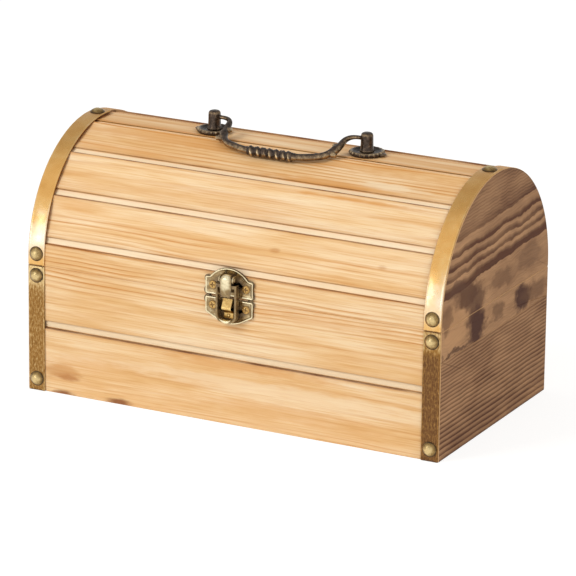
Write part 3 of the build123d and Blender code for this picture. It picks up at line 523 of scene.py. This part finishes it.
# Cast zinc with a dark bronze finish, rubbed on the high places
bronze = finish("antique_bronze", "antique_bronze", worn_metal, [
    (0.2, "#2A211A"), (0.4, "#54453A"), (0.62, "#A08868"), (0.85, "#F0DCB4")], (0.18, 0.28), 2, metallic=0.95)
# Zinc-plated steel: a plain light grey
zinc = finish("zinc_plated_steel", "screw_steel", worn_metal, [
    (0.2, "#7E7F7C"), (0.5, "#A3A4A0"), (0.85, "#C4C5C0")], (0.25, 0.4), 3)


# Planks
plank_edge, wave_height = 0.45, 0.05


def plank(name, node, body, corners, origin, up, out, seed, heart, tone, stripes, charred, foot=0.5, laps=()):
    """A plank along X: a section with rounded edges, given by steps up its face and out of it, and a ripple on
    its outer 2 mm. Toast is burnt wood: foot at the lower edge, charred at the upper one, and beside each lap
    (edge, way, glow, scar) a glow and a thin scar, falling as exp of the distance. In a lap it is below zero.
    A strip beside each strap gets toast too, which is painted shadow of the strap's edge."""
    line = dense(rounded(corners, plank_edge), 2.0)
    x, up_face, out_of = np.broadcast_arrays(np.linspace(-end_inner, end_inner, 71)[:, None], *line.T)
    top = max(c[0] for c in corners)
    outer = out_of > -2.0
    wave = np.where(outer, ripple(x, seed, wave_height), 0)
    rings = put_at(np.stack([x, up_face, out_of + wave], -1), (0, *origin), X_AXIS, (0, *up), (0, *out))
    toast = charred * np.exp(-np.maximum(top - up_face - 0.5, 0) / 0.5)
    toast = np.maximum(foot * np.exp(-up_face / 0.4), toast)
    lip, bed = -0.4, 0.7 - lap_width
    for edge, way, glow, scar in laps:
        past = way * (up_face - edge)
        above = glow * np.exp(-past / 1.6) + scar * np.exp(-np.maximum(past - 0.5, 0) / 0.4)
        toast = np.maximum(toast, np.where(past > lip, np.minimum(above, 0.9), 0))
    for edge, way, _, _ in laps:
        past = way * (up_face - edge)
        toast = np.where((past < lip) & (past > bed), -1.0, np.where(past <= bed, charred, toast))
    toast = np.where(outer, np.minimum(toast, 1), 0)
    # Painted shadow: a dark strip on the plank beside each strap, where the strap's edge casts shade.
    beside_strap_shade = np.abs(x) > strap_center - strap_width / 2 - 1.3
    toast = np.maximum(toast, np.where(beside_strap_shade, 0.5, np.minimum(toast, 0)) * outer)
    put(name, [rings], pine, body, node, grain=[np.stack([x + GRAIN_SHIFT * seed, up_face, -out_of], -1)],
        heart=[np.zeros(rings.shape) + (*heart, tone)], toast=[toast],
        stripes=[np.interp(up_face, (0, top), stripes)])


# The plank above the seam is upright up to the arch, and then follows it up to a slanted edge
arc = [(arch_base - seam + plank_face * sin(a), plank_face * (cos(a) - 1))
       for a in np.radians([0, shoulder_angle / 2, shoulder_angle])]
slanted_edge = arc[-1][0] - (plank_thickness + arc[-1][1]) * tan(radians(shoulder_angle))
shoulder = [(0, 0), *arc, (slanted_edge, -plank_thickness), (0, -plank_thickness)]
low_lap = [(0, -lap_depth), (lap_width, -lap_depth), (lap_width, 0)]
wall_low = oblong(0, 0, wall_joint, -plank_thickness)
wall_high = low_lap + oblong(0, 0, seam - wall_joint, -plank_thickness)[1:]
for way, word, seed in ((FRONT, "front", 1), (BACK, "back", 2)):
    face, up, out = way * plank_face, (0, 1), (way, 0)
    plank(f"{word}_wall_lower", f"base_{word}_plank_low", "base", wall_low, (face, 0), up, out,
          seed, (28, 16), 0.03, (0.7, 0.5), 1.0)
    plank(f"{word}_wall_upper", f"base_{word}_plank_high", "base", wall_high, (face, wall_joint), up, out,
          seed + 2, (6, 18), -0.03, (0.7, 1.5), 0.35, laps=[(lap_width, 1, 0.5, 0.1)])
    plank(f"{word}_lid_side", f"lid_{word}_side_plank", "lid", shoulder, (face, seam), up, out,
          seed + 4, (-14, 9), 0.03, (1.6, 1.4), 0.7)

# Planks of the arch from the front: heart, tone, stripes at the lower and at the upper edge, charred and foot
SLATS = [((27, 10), 0.0, (1.8, 0.3), 0.9, 0.5), ((14, 32), -0.03, (0.9, 0.5), 1.5, 0.5),
         ((3, 10), 0.02, (0.2, 3.2), 0.1, 0.5), ((12, 34), 0.05, (1, 1), 0.1, 0.5),
         ((30, 26), 0.0, (1, 1), 0.9, 1.6), ((-10, 24), 0.02, (0.6, 1.4), 0.9, 0.9),
         ((20, 30), 0.0, (1, 0.5), 0.9, 0.9)]
low_lap[0] = (lap_depth * slat_slope, -lap_depth)
high_lap = [(slat_width - x, z) for x, z in low_lap[::-1]]
inner_edge = plank_thickness * slat_slope
for k, (heart, tone, stripes, charred, foot) in enumerate(SLATS, 1):
    angle = radians(shoulder_angle + (k - 0.5) * slat_angle)
    out, up = np.array([-cos(angle), sin(angle)]), np.array([sin(angle), cos(angle)])
    low, high = 2 * k <= slat_count + 1, 2 * k >= slat_count + 1
    low_burn, high_burn = ((0.45, 0.0), (0.1, 0.9)) if low and high else ((0.5, 0.12), (0.5, 0.12))
    corners = [*(low_lap if low else [(0, 0)]), *(high_lap if high else [(slat_width, 0)]),
               (slat_width - inner_edge, -plank_thickness), (inner_edge, -plank_thickness)]
    origin = out * slat_face - up * slat_width / 2 + (0, arch_base)
    laps = [(lap_width, 1, *low_burn)] * low + [(slat_width - lap_width, -1, *high_burn)] * high
    plank(f"arch_plank_{k}", f"lid_plank_{k}", "lid", corners, origin, up, out, k + 8, heart, tone, stripes,
          charred, foot, laps)

inner_depth = plank_face - plank_thickness
bottom = dense(rounded(oblong(-end_inner, -inner_depth, end_inner, inner_depth), 0.3), 12)
rings = faced(slab(bottom, arris(0, bottom_thickness, 0.4)))
put("bottom_board_wood", [rings], pine, "base", "bottom_board", toast=[0.0], stripes=[1.0],
    grain=[rings + (300.0, 0, 0)], heart=[np.zeros(rings.shape) + (10, 30, 0.0)])


# End boards
def end_board(name, node, body, outline, side, burnt_rim):
    """A board across X with rounded edges, sharp at the glued joint. Toast is high on the burnt arris of the
    arch, and below zero, which is pale, on the outer edges and at the seam. Reach is measured from the middle
    of the arch."""
    outline = dense(outline, 4.0)
    rings = slab(outline, arris(end_inner, half_length, 0.5, 0.3))
    rings[..., 1] = np.where(np.abs(outline[:, 1] - end_joint) < 1.4, outline[:, 1], rings[..., 1])
    rings = faced(rings)
    y, z, x = np.moveaxis(rings, -1, 0)
    reach = np.where(z > arch_base, np.hypot(y, z - arch_base), np.abs(y))
    rim = (reach > half_depth - 0.75) & (x > half_length - 0.3) & (y > 12)
    toast = np.where(rim & burnt_rim, 0.9, 0.0)
    toast = np.where((reach > half_depth - 0.45) & (x < half_length - 0.01), -1.0, toast)
    toast = np.where((np.abs(z - seam) < 0.45) & (np.abs(y) < half_depth - 1), -0.6, toast)
    put(name, [put_at(rings, (0, 0, 0), Y_AXIS, Z_AXIS, side * X_AXIS)], scorched, body, node, toast=[toast])


corner, glued = 0.9, 0.02
low_board = rounded(oblong(-half_depth, 0, half_depth, end_joint), (corner, corner, glued, glued))
high_board = rounded(oblong(-half_depth, end_joint, half_depth, seam), (glued, glued, corner, corner))
angles = np.radians(np.linspace(0, 180, 61))[:, None]
arch = np.hstack([-half_depth * np.cos(angles), arch_base + half_depth * np.sin(angles)])
# The arch's two lower corners: the first twelve points of an oblong that starts with them
lower_corners = rounded(oblong(half_depth, seam, -half_depth, arch_base), corner)[:12]
for word, side in SIDES.items():
    end_board(f"{word}_end_bottom", f"{word}_end_low_board", "base", low_board, side, False)
    end_board(f"{word}_end_middle", f"{word}_end_high_board", "base", high_board, side, False)
    end_board(f"{word}_end_top", f"{word}_end_arch", "lid", np.vstack([arch, lower_corners]), side, True)


# Straps
sheet_face, rim_height, rim_at, dimple_depth, dimple_radius = 0.56, 0.13, 0.9, 0.22, 6.4


def strap(name, node, body, side, path, out, nails, material, crown, seed, gilt_and_highlight):
    """Thin sheet bent along a path in YZ. Across it, share runs from 0 in the middle to 1 at an edge: a crown as
    1 - share squared, a rolled rim as a bell curve, and a steep fall at the edge. Each nail sits in a dimple.
    The last argument lifts the colour at each point of the path: by gilding that is left, by a painted
    highlight on the lid strap, and by painted reflection on the left base strap."""
    across = strap_width / 2 * np.sin(np.linspace(-pi / 2, pi / 2, 41))
    share = np.abs(across) / (strap_width / 2)
    rim = rim_height * np.exp(-(((share - rim_at) / 0.055) ** 2))
    outer = sheet_face - 0.4 * share**40 + rim + crown * (1 - share**2)
    length = run(path)[:, None]
    height = outer + ripple(length * 1.3 + 4 * across, seed, wave_height) * (share < 0.97)
    for nail in nails:
        height = height - dimple_depth * np.exp(-((np.hypot(length - nail, across) / dimple_radius) ** 6))
    u = np.concatenate([across, across[::-6]])
    h = np.concatenate([np.maximum(height, 0.1), np.full((len(length), 7), 0.01)], 1)
    p = path[:, None] + h[..., None] * out[:, None]
    rings = np.stack([side * strap_center + u + 0 * h, p[..., 0], p[..., 1]], -1)
    rise = 0.25 + 0.15 * np.exp(-(((share - 0.93) / 0.06) ** 2)) + gilt_and_highlight[:, None]
    rise = np.concatenate([np.clip(rise, 0, 1), np.zeros((len(length), 7))], 1)
    put(name, [rings], material, body, node, rise=[rise])


# Heights of the nails on the front, and how far the top one is from the middle of the arch
low_nail, high_nail, lid_nail, top_nail = 8.0, 79.2, 94.0, 1.5
strap_gap, strap_overrun = 0.4, 6.0
upright = np.column_stack([np.full(60, -half_depth), np.linspace(0, seam - strap_gap, 60)])
upright_out = np.tile([-1.0, 0.0], (60, 1))
upright_kept = 0.45 * smooth_step((upright[:, 1] - 66) / 14)
angles = np.append(np.zeros(3), np.linspace(0, pi / 2 + np.arcsin(strap_overrun / strap_face), 100))
bow = np.column_stack([-half_depth * np.cos(angles), arch_base + half_depth * np.sin(angles)])
bow_start = seam + strap_gap
bow[:3, 1] = (bow_start, 87.2, 88.1)
bow_out = np.column_stack([-np.cos(angles), np.sin(angles)])
# Painted highlight: a pale band on the lid strap about 105 mm up, where a soft box's reflection falls.
bow_painted_highlight = 0.25 + 0.48 * np.exp(-(((bow[:, 1] - 105) / 13) ** 2))
top_of_bow = half_depth * pi / 2 + arch_base - bow_start
for word, side in SIDES.items():
    # The left base strap gets a higher level than the right one: painted reflection that makes it lighter.
    strap(f"{word}_base_strip", f"{word}_base_strap", "base", side, upright, upright_out,
          (low_nail, high_nail), rubbed_and_shaded_gilt, 0.0, 3 + side, upright_kept + 0.24 * (side < 0))
    strap(f"{word}_lid_strip", f"{word}_lid_strap", "lid", side, bow, bow_out,
          (lid_nail - bow_start, top_of_bow - top_nail), bright_gilt, 0.32, 6 + side, bow_painted_highlight)


# Nails, rivet and screws
def dome(radius, height, shank, depth, dimples=0.0, count=40):
    """Turned nail: a ball cap of that radius and height with a thin flange, and a pointed shank. Dimples dent
    the cap as the sine of three times the turn times the sine of the height."""
    ball = (radius**2 + height**2) / (2 * height)
    r = radius * np.sin(np.linspace(0.04, pi / 2, 16))[::-1]
    cap = np.column_stack([r, height - ball + np.sqrt(ball**2 - r**2) + 0.12 * (r > 0.97 * radius)])
    profile = np.vstack([[(0.2, -depth), (shank, 1.5 - depth), (shank, 0), (radius - 0.1, 0)], cap])
    rings = lathe(profile, count)
    x, y, z = np.moveaxis(rings, -1, 0)
    dent = dimples * np.sin(3 * around(count) + 1.0) * np.sin(2 * pi * z / height) * (z > 0)
    z -= dent * (np.hypot(x, y) < 0.9 * radius)
    return rings, np.clip(z / height, 0, 1) ** 0.8


def cross_screw(radius, height, shank, depth, slot_half=0.42):
    """Turned screw: a round head, flat on top, with crossed slots, cut where a point is near an axis."""
    t = np.linspace(0, pi / 2, 16)[:-1, None]
    head = np.hstack([radius * np.cos(t), height * np.sin(t) ** 0.8])
    profile = np.vstack([[(0.2, -depth), (shank, 1 - depth), (shank, 0), (radius, 0)], head, [(0.12, height)]])
    rings = lathe(profile, 56)
    x, y, z = np.moveaxis(rings, -1, 0)
    bars = [np.clip((slot_half - np.abs(p)) / 0.16, 0, 1) * np.clip((0.62 * radius - np.abs(q)) / 0.2, 0, 1)
            for p, q in ((x, y), (y, x))]
    cut = np.maximum(*bars) * (z > 0.3 * height)
    z -= 0.55 * height * cut
    return rings, np.clip(z / height, 0, 1) * (1 - cut)


def front(rings, x, z, depth):
    """Rings put on the front: across, up, and out of a face at that depth."""
    return put_at(rings, (x, -depth, z), X_AXIS, Z_AXIS, -Y_AXIS)


nail, nail_rise = dome(radius=5.0, height=2.5, shank=0.9, depth=12.0, dimples=0.05)
places = [(side * strap_center, z) for side in SIDES.values() for z in (low_nail, high_nail)]
shells = [front(turned(nail, k), x, z, strap_face) for k, (x, z) in enumerate(places)]
put("base_dome_nails", shells, nail_brass, "base", "base_strap_nails", rise=[nail_rise] * 4)
shells = []
for k, side in enumerate(SIDES.values()):
    for angle in (np.arcsin((lid_nail - arch_base) / strap_face), pi / 2 - np.arcsin(top_nail / strap_face)):
        out, up = np.array([0, -cos(angle), sin(angle)]), np.array([0, sin(angle), cos(angle)])
        seat = (side * strap_center, 0, arch_base) + strap_face * out
        shells.append(put_at(turned(nail, k + 4 * angle), seat, X_AXIS, up, out))
put("lid_dome_nails", shells, nail_brass, "lid", "lid_strap_nails", rise=[nail_rise] * 4)

screw, screw_rise = cross_screw(radius=2.8, height=1.1, shank=0.9, depth=5.0)
plate_back, plate_face, leaf_face = plank_face, 82.5, 82.7
upper_bottom, lower_top = seam + 1.0, seam - 0.7
lower_bottom = lower_top - 17.0
for name, node, body, z in (("lid_latch_screws", "latch_screws_lid", "lid", upper_bottom + 6.2),
                            ("base_latch_screws", "latch_screws_base", "base", lower_top - 5.6)):
    put(name, [front(turned(screw, x * z), x, z, plate_face) for x in (-12, 12)], screw_brass, body,
        node, rise=[0.7 * screw_rise] * 2)
for name, node, body, z in (("lid_hinge_screws", "hinge_screws_lid", "lid", seam + 7),
                            ("base_hinge_screws", "hinge_screws_base", "base", seam - 7)):
    shells = [put_at(turned(screw, x), (x, leaf_face, z), -X_AXIS, Z_AXIS, Y_AXIS) for x in (-96, -84, 84, 96)]
    put(name, shells, hinge_brass, body, node, rise=[screw_rise] * 4)
rivet, rivet_rise = dome(radius=1.3, height=0.8, shank=0.7, depth=4.0, count=24)
put("catch_rivet", [front(rivet, 0, lower_bottom + 6.1, plate_face + 0.9)], screw_brass, "base",
    "latch_catch_rivet", rise=[rivet_rise])


# Latch
# Pressed edge of a plate: inset, height, and how far the patina is rubbed off there
PRESSED_EDGE = np.array([
    (0, 0, -0.2), (0, 0.6, -0.2), (0, 1.1, -0.1), (0.12, 1.4, 0.4), (0.35, 1.58, 0.9), (0.65, 1.6, 1),
    (0.95, 1.5, 0.8), (1.2, 1.32, 0.5), (1.5, 1.16, 0.45), (2.1, 1.04, 0.5), (2.7, 0.93, 0.45),
    (3.3, 0.83, 0.35), (3.9, 0.77, 0.25), (4.8, 0.74, 0.15), (6, 0.73, 0.1)])


def latch_plate(corners):
    """Pressed plate: a rolled rim round a dished field. The outline moves inwards by small steps along its
    normals and is relaxed after each, up to the insets of the edge. The rim is left out under the flap."""
    outline = softened(np.array(corners, float), 0.35, 9)
    x, y = outline.T
    gate = smooth_step((9.3 - np.abs(x)) / 0.8) * (np.abs(y) < 3)
    rings, p, gone = [np.column_stack([outline * 0.97, 0 * x])], outline, 0.0
    for far, height, _ in PRESSED_EDGE:
        while gone < far - 0.001:
            part = min(0.2, far - gone)
            tangent = unit(np.roll(p, -1, 0) - np.roll(p, 1, 0)) * way_round(outline)
            p = relaxed(p + part * unit(tangent @ QUARTER_LEFT))
            gone += part
        rings.append(np.column_stack([p, np.full(len(p), height)]))
    rings = np.array(rings)
    rings[..., 2] -= np.maximum(rings[..., 2] - 0.8, 0) * gate
    return rings, np.append(-0.2, PRESSED_EDGE[:, 2])[:, None] + 0 * x


plate_half = 17.3
upper_corners = np.vstack([[(-plate_half, 11.7), (-plate_half, 0), (plate_half, 0), (plate_half, 11.7)],
                           bow_through((-14, 11.7), (0, 18.9), (14, 11.7))[::-1]])
lower_corners = np.vstack([[(plate_half, 0), (-plate_half, 0), (-plate_half, -10.5)],
                           bow_through((-8, -15.4), (0, -17.0), (8, -15.4)), [(plate_half, -10.5)]])
pin_y, pin_z = 85.8, seam + 13.2
angles = np.linspace(-pi / 2, pi / 2, 13)
ear = 2.4 * np.column_stack([np.cos(angles), np.sin(angles)])
ear = softened(np.vstack([ear, [(-3.4, 2.4), (-3.4, -2.4)]]), 0.3, 2)
ear = slab(ear, arris(4.3, 5.3, 0.3, 0.2))
ears = [put_at(ear, (0, -pin_y, pin_z), -Y_AXIS, Z_AXIS, side * X_AXIS) for side in (-1, 1)]
plate, plate_rise = latch_plate(upper_corners)
put("hasp_upper_plate", [front(plate, 0, upper_bottom, plate_back), *ears],
    latch_brass, "lid", "latch_upper_plate", rise=[plate_rise, 0.6, 0.6])
plate, plate_rise = latch_plate(lower_corners)
put("hasp_lower_plate", [front(plate, 0, lower_top, plate_back)], latch_brass, "base",
    "latch_lower_plate", rise=[plate_rise])
pin_half = [(0.8, 0), (0.8, 5.3), (1.3, 5.3), (1.3, 5.5), (1.1, 5.7), (0.6, 5.8)]
pin = lathe([(r, -x) for r, x in pin_half[:0:-1]] + pin_half, 24)
put("hasp_pin", [put_at(pin, (0, -pin_y, pin_z), Y_AXIS, Z_AXIS, X_AXIS)], latch_brass, "lid",
    "latch_pin", rise=[0.6])

# Flap: a crowned tongue that curls over the pin, a stirrup, a web and a finger lip
curl_radius, curl_width, tongue_length = 2.05, 4.1, 11.0
angles = np.linspace(radians(-50), pi, 31)
curl_top = np.where(angles > 0, 2.6, curl_radius)
curl = np.column_stack([-pin_y + curl_radius * np.cos(angles), pin_z + curl_top * np.sin(angles)])
fall = np.linspace(0.5, tongue_length, 20)
drop = np.column_stack([-pin_y - curl_radius - 0.1 * np.sin(pi * fall / tongue_length), pin_z - fall])
line = np.vstack([curl, drop])
line = np.column_stack([np.zeros(len(line)), line])
height = np.where(np.arange(len(line)) < 16, 2.6, np.maximum(line[:, 2] - (pin_z - 0.2), 0))
half = np.sqrt(np.maximum(curl_width**2 - height**2, 4.0))
half *= 1 - 0.12 * smooth_step((pin_z - 5 - line[:, 2]) / 6)
angles = around(36)
edge = fuller(np.cos(angles), 0.75)
thick = fuller(np.sin(angles), 0.75) * (0.55 + 0.25 * (1 - edge**2))
tongue = sweep(line, np.stack([thick + 0 * half[:, None], edge * half[:, None]], -1), X_AXIS)
# Paler along the tongue's crown as rubbed wear, and a painted highlight: paler at its top and darker down its
# lower half.
tongue_rise = (0.35 + 0.6 * (1 - edge**2)) * (1 - 0.55 * smooth_step((pin_z - 1 - line[:, 2:]) / 9))

flap_top, flap_back, flap_front = pin_z - 3.2, plate_face + 0.5, plate_face + 5.2
stirrup_half, stirrup_bottom = 6.75, flap_top - 24.95
u_path = bent([(-stirrup_half, flap_top), (-stirrup_half, stirrup_bottom), (stirrup_half, stirrup_bottom),
               (stirrup_half, flap_top)], 5.25, 90)
u_path = np.insert(u_path, 1, -(flap_back + flap_front) / 2, 1)
bar = dense(rounded(oblong(-0.75, -2.35, 0.75, 2.35), 0.45, 0.15), 0.8)
web = softened(np.array(oblong(-6.9, -2.3, 6.9, 0), float), 0.3, 4)
web = front(slab(web, arris(-1.5, 0.05, 0.4, 0.2)), 0, flap_top, flap_front)
lip_half = 4.2
lip_x = np.linspace(0.05 - lip_half, lip_half - 0.05, 41)[:, None]
low_edge, high_edge = (-bow_through((-lip_half, 0), (0, sag), (lip_half, 0), 41)[:, 1:] for sag in (2.7, 0.9))
angles = around(24)
lip = np.stack([lip_x + 0 * angles,
                (low_edge + high_edge + (high_edge - low_edge + 0.3) * fuller(np.sin(angles), 0.7)) / 2,
                -0.35 + 1.3 * fuller(np.cos(angles), 0.6) + 0 * lip_x], -1)
lip = front(lip, 0, flap_top - 23.1, flap_front)
# The finger lip is painted near-white, a painted highlight of light on its upper face; the stirrup is painted
# lighter against the dark it reflects.
put("hasp_flap", [tongue, sweep(u_path, bar[None], Y_AXIS), web, lip], latch_brass, "latch_flap",
    "latch_flap", rise=[tongue_rise, 0.35, 0.25, 0.95])

# Catch: a strip that stands off the lower plate and bends back to it, as (out of the plate, up)
catch_path = bent([(0, 4.2), (0, 8.5), (4.2, 11.2), (1.2, 17.8)], 1.0, 60)
catch_path = (0, -plate_face - 0.45, lower_bottom) + np.insert(catch_path * (-1, 1), 0, 0, 1)
strip = dense(rounded(oblong(-0.45, -3.5, 0.45, 3.5), 0.3, 0.15), 0.8)
put("hasp_catch", [sweep(catch_path, strip[None], X_AXIS)], screw_brass, "base", "latch_catch",
    rise=[0.7])


# Handle
def teardrop(foot, tip, width, ball=0.0):
    """A leaf bud from foot to tip: its radius swells and falls as a sine does, and a small ball may end it."""
    foot, tip = np.array(foot, float), np.array(tip, float)
    way = unit(tip - foot)
    side = unit(np.cross(way, (0.3, 0.2, 1.0)))
    t = np.linspace(0, 1, 22)[:, None, None]
    r = width * np.sin(pi * np.clip(t * 0.8 + 0.2, 0, 1)) ** 0.7 + 0.05
    r = np.maximum(r, np.sqrt(np.maximum(ball**2 - ((t - 0.9) * np.linalg.norm(tip - foot)) ** 2, 0)))
    a = around(18)[:, None]
    return foot + t * (tip - foot) + r * (np.cos(a) * side + np.sin(a) * np.cross(way, side))


post_x = 55.8
rosette_top = lid_top + 2.3
pivot_z = rosette_top + 8.3
# Profiles of the rosette and of the post: radius, height, and how far the patina is rubbed off there
ROSETTE = np.array([
    (4.0, 0, 0), (10.2, 0, 0), (10.8, 0.3, 0.1), (11.0, 1.0, 0.2), (11.0, 2.2, 0.4), (10.6, 2.9, 0.6),
    (9.9, 3.1, 0.5), (9.3, 2.9, 0.2), (8.8, 2.3, 0.05), (8.2, 1.75, 0), (7.2, 1.6, 0.05), (6.2, 1.7, 0.15),
    (5.4, 2.0, 0.3), (4.9, 2.2, 0.3), (4.6, 2.3, 0.2), (3.0, 2.3, 0.1)])
POST = np.array([
    (2.0, 0, 0), (4.9, 0, 0.2), (5.0, 0.3, 0.5), (4.8, 0.9, 0.4), (4.45, 1.8, 0.3), (4.25, 3.2, 0.25),
    (4.15, 6.0, 0.25), (4.1, 9.4, 0.25), (4.08, 10.2, 0.3), (3.98, 10.9, 0.5), (3.7, 11.6, 0.45),
    (3.2, 12.1, 0.3), (2.3, 12.45, 0.2), (0.6, 12.6, 0.2)])
bead_count, bead_radius, bead_reach = 22, 1.15, 10.7
angles = np.linspace(0.05, pi - 0.05, 11)
bead = lathe(bead_radius * np.column_stack([np.sin(angles), 1 - np.cos(angles)]), 12)
bead_rise = 0.3 + 0.6 * np.clip(bead[..., 2] / (2 * bead_radius), 0, 1) ** 3
for word, side in SIDES.items():
    seat = np.array([side * post_x, 0, lid_top])
    shells = [put_at(lathe(ROSETTE[:, :2], 64), seat)]
    for k in range(bead_count):
        at = radians(360 / bead_count * k + 9)
        shells.append(put_at(bead, seat + (bead_reach * cos(at), bead_reach * sin(at), 0.7)))
    leaf = teardrop((side * 9.6, 0, 0), (side * 14.1, 0, 0), 3.2) * (1, 1, 0.36)
    shells.append(put_at(leaf + (0, 0, 1.25), seat))
    put(f"{word}_beaded_rosette", shells, bronze, "lid", f"{word}_handle_rosette",
        rise=[ROSETTE[:, 2:], *[bead_rise] * bead_count, 0.45])
    post = put_at(lathe(POST[:, :2], 48), (side * post_x, 0, rosette_top))
    put(f"{word}_turned_post", [post], bronze, "lid", f"{word}_handle_post", rise=[POST[:, 2:]])

# The bail lies in a plane that falls forwards from the pivots. Places in it are x and reach
bail_tilt = radians(21.88)
reach_way = np.array([0, -cos(bail_tilt), -sin(bail_tilt)])


def in_bail(x, reach):
    """Places in the plane of the bail: x along X, and reach down its slope from the pivots."""
    return np.array([0, 0, pivot_z]) + np.multiply.outer(x, X_AXIS) + np.multiply.outer(reach, reach_way)


# Its rod swells from the pivots to the leaf buds. The grip is wound: beads as the sine of a turning angle
half_path = [(51.2, 0), (41.8, 0), (41.8, 16.0), (35.3, 25.0), (20.0, 29.8)]
bends = [8.4, 7.0, 4.0, 7.5]
path = bent(half_path + [(-x, y) for x, y in half_path[::-1]], bends + bends[::-1], 460)
from_end = run(path)
from_end = np.minimum(from_end, from_end[-1] - from_end)
x = np.abs(path[:, 0])
half_grip, bead_length = 16.1, 4.6
radius = 1.3 + 1.0 * smooth_step((from_end - 1) / 17) + 0.55 * np.exp(-(((from_end - 23) / 3.2) ** 2))
radius = (radius + 0.3 * np.exp(-(((x - half_grip - 1.2) / 0.7) ** 2)))[:, None]
angles = around(28)
wound = pi * (path[:, :1] + half_grip) / bead_length + 0.8 * np.cos(angles)
beads = np.abs(np.sin(wound)) ** 0.7 * (0.85 + 0.15 * np.sin(2.3 * path[:, :1] + 2 * angles))
grip = smooth_step((half_grip + 0.4 - x) / 0.8)[:, None]
radius = radius * (1 - grip) + (2.5 + 1.1 * beads) * grip
section = radius[..., None] * np.stack([np.cos(angles), np.sin(angles)], -1)
shells = [sweep(in_bail(*path.T), section, np.cross(X_AXIS, reach_way))]
# Painted highlight: the lower front side of the rod, and the bead crests of the grip on that side, are painted
# paler.
tip = np.clip(np.cos(angles - 3.4), 0, 1) ** 2
rises = [np.clip(0.2 + 0.4 * tip * (1 - grip) + 1.6 * grip * tip * np.clip(beads - 0.55, 0, 1), 0, 1)]
buds = [((38.4, 20.3), (43.6, 22.3), 2.3, 1.5), ((41.8, 13.0), (37.0, 11.8), 2.0, 1.3)]
pin = lathe([(0.6, 0), (1.37, 0.3), (1.37, 3.4)], 20)
for side in (-1, 1):
    for (x0, r0), (x1, r1), width, ball in buds:
        shells.append(teardrop(in_bail(side * x0, r0), in_bail(side * x1, r1), width, ball))
        rises.append(np.linspace(0.2, 0.75, 22)[:, None])
    shells.append(put_at(pin, (side * 54.3, 0, pivot_z), Y_AXIS, Z_AXIS, -side * X_AXIS))
    rises.append(0.3)
put("drop_bail", shells, bronze, "bail", "handle_bail", rise=rises)

# Washers and screw heads of the handle, under the inner face of the lid
lid_ceiling, washer_thickness = lid_top - plank_thickness, 0.8
washer = lathe([(2.1, 0), (4.8, 0), (5.0, -0.2), (5.0, -0.6), (4.8, -0.8), (2.3, -0.8), (2.1, -0.7)], 40)
head = lathe([
    (1.0, 0), (3.8, 0), (3.8, -0.9), (3.5, -1.6), (2.6, -2.1), (1.4, -2.2), (1.2, -1.2), (0.3, -1.2)], 40)
for name, node, rings, z, rise in (
        ("lid_washers", "handle_washers", washer, lid_ceiling, 0.6),
        ("lid_bolt_heads", "handle_screws", head, lid_ceiling - washer_thickness, 0.7)):
    put(name, [put_at(rings, (x, 0, z)) for x in (-post_x, post_x)], zinc, "lid", node, rise=[rise] * 2)

# The hinges stay the solids of the CAD, in brass
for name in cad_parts:
    if "hinge" in name and "screws" not in name:
        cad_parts[name].data.materials.clear()
        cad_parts[name].data.materials.append(hinge_brass[0])


# Stage and light
def white_card(t):
    """White card that glows for the camera, in gloss and behind glass, and is matt for everything else."""
    seen = add(t, "LightPath").node.outputs
    matte = add(t, "BsdfDiffuse", {"Color": "#FAFAF8"})
    glow = add(t, "Emission", {"Color": "#FFFFFF", "Strength": 1.23})
    direct = add(t, "Math", [seen["Is Camera Ray"], seen["Is Glossy Ray"]], operation="MAXIMUM")
    direct = add(t, "Math", [direct, seen["Is Transmission Ray"]], operation="MAXIMUM")
    direct = add(t, "Math", [direct, 0.65], operation="MULTIPLY")
    return add(t, "MixShader", [direct, matte, glow])


floor = bpy.data.meshes.new("floor")
floor.from_pydata([(x, y, 0) for x, y in oblong(-30.0, -30.0, 30.0, 30.0)], [], [(0, 1, 2, 3)])
floor_object = bpy.data.objects.new("floor", floor)
bpy.context.scene.collection.objects.link(floor_object)
floor.materials.append(finish("white_card", "", white_card)[0])

# The world is white to the camera, soft light on matt surfaces, and in gloss brighter in front than behind
world = bpy.data.worlds.new("studio")
bpy.context.scene.world = world
world.use_nodes = True
world.node_tree.nodes.clear()
t = world.node_tree
seen = add(t, "LightPath").node.outputs
direction = add(t, "TexCoord").node.outputs["Generated"]
depth = add(t, "SeparateXYZ", [direction]).node.outputs["Y"]
depth = add(t, "MapRange", [depth, -0.45, 0.2, 1.0, 0.6], interpolation_type="SMOOTHSTEP")
glossy = add(t, "Background", {"Color": depth, "Strength": 1.0})
plain = add(t, "Background", {"Color": "#FFFFFF", "Strength": 1.0})
soft = add(t, "Background", {"Color": "#FFFAF4", "Strength": 0.55})
direct = add(t, "Math", [seen["Is Camera Ray"], seen["Is Transmission Ray"]], operation="MAXIMUM")
mixed = add(t, "MixShader", [seen["Is Glossy Ray"], soft, glossy])
add(t, "OutputWorld", {"Surface": add(t, "MixShader", [direct, mixed, plain])})

# Soft boxes that face the chest: place, width, height, power, and whether it is only seen in gloss
for name, place, wide, tall, power, glossy in (
        ("key", (-1.2, -1.6, 1.7), 1.0, 1.0, 27.0, False), ("fill", (1.8, -0.6, 1.2), 1.0, 1.0, 9.5, False),
        ("card", (-1.15, -2.03, 0.5), 0.3, 0.9, 2.1, True)):
    light = bpy.data.lights.new(name, "AREA")
    light.shape = "RECTANGLE"
    light.size, light.size_y, light.energy = wide, tall, power
    box = bpy.data.objects.new(name, light)
    aim = (Vector((0, 0, 0.1)) - Vector(place)).to_track_quat("-Z", "Y").to_matrix().to_4x4()
    box.matrix_world = Matrix.Translation(place) @ aim
    box.visible_glossy, box.visible_diffuse = glossy, not glossy
    bpy.context.scene.collection.objects.link(box)
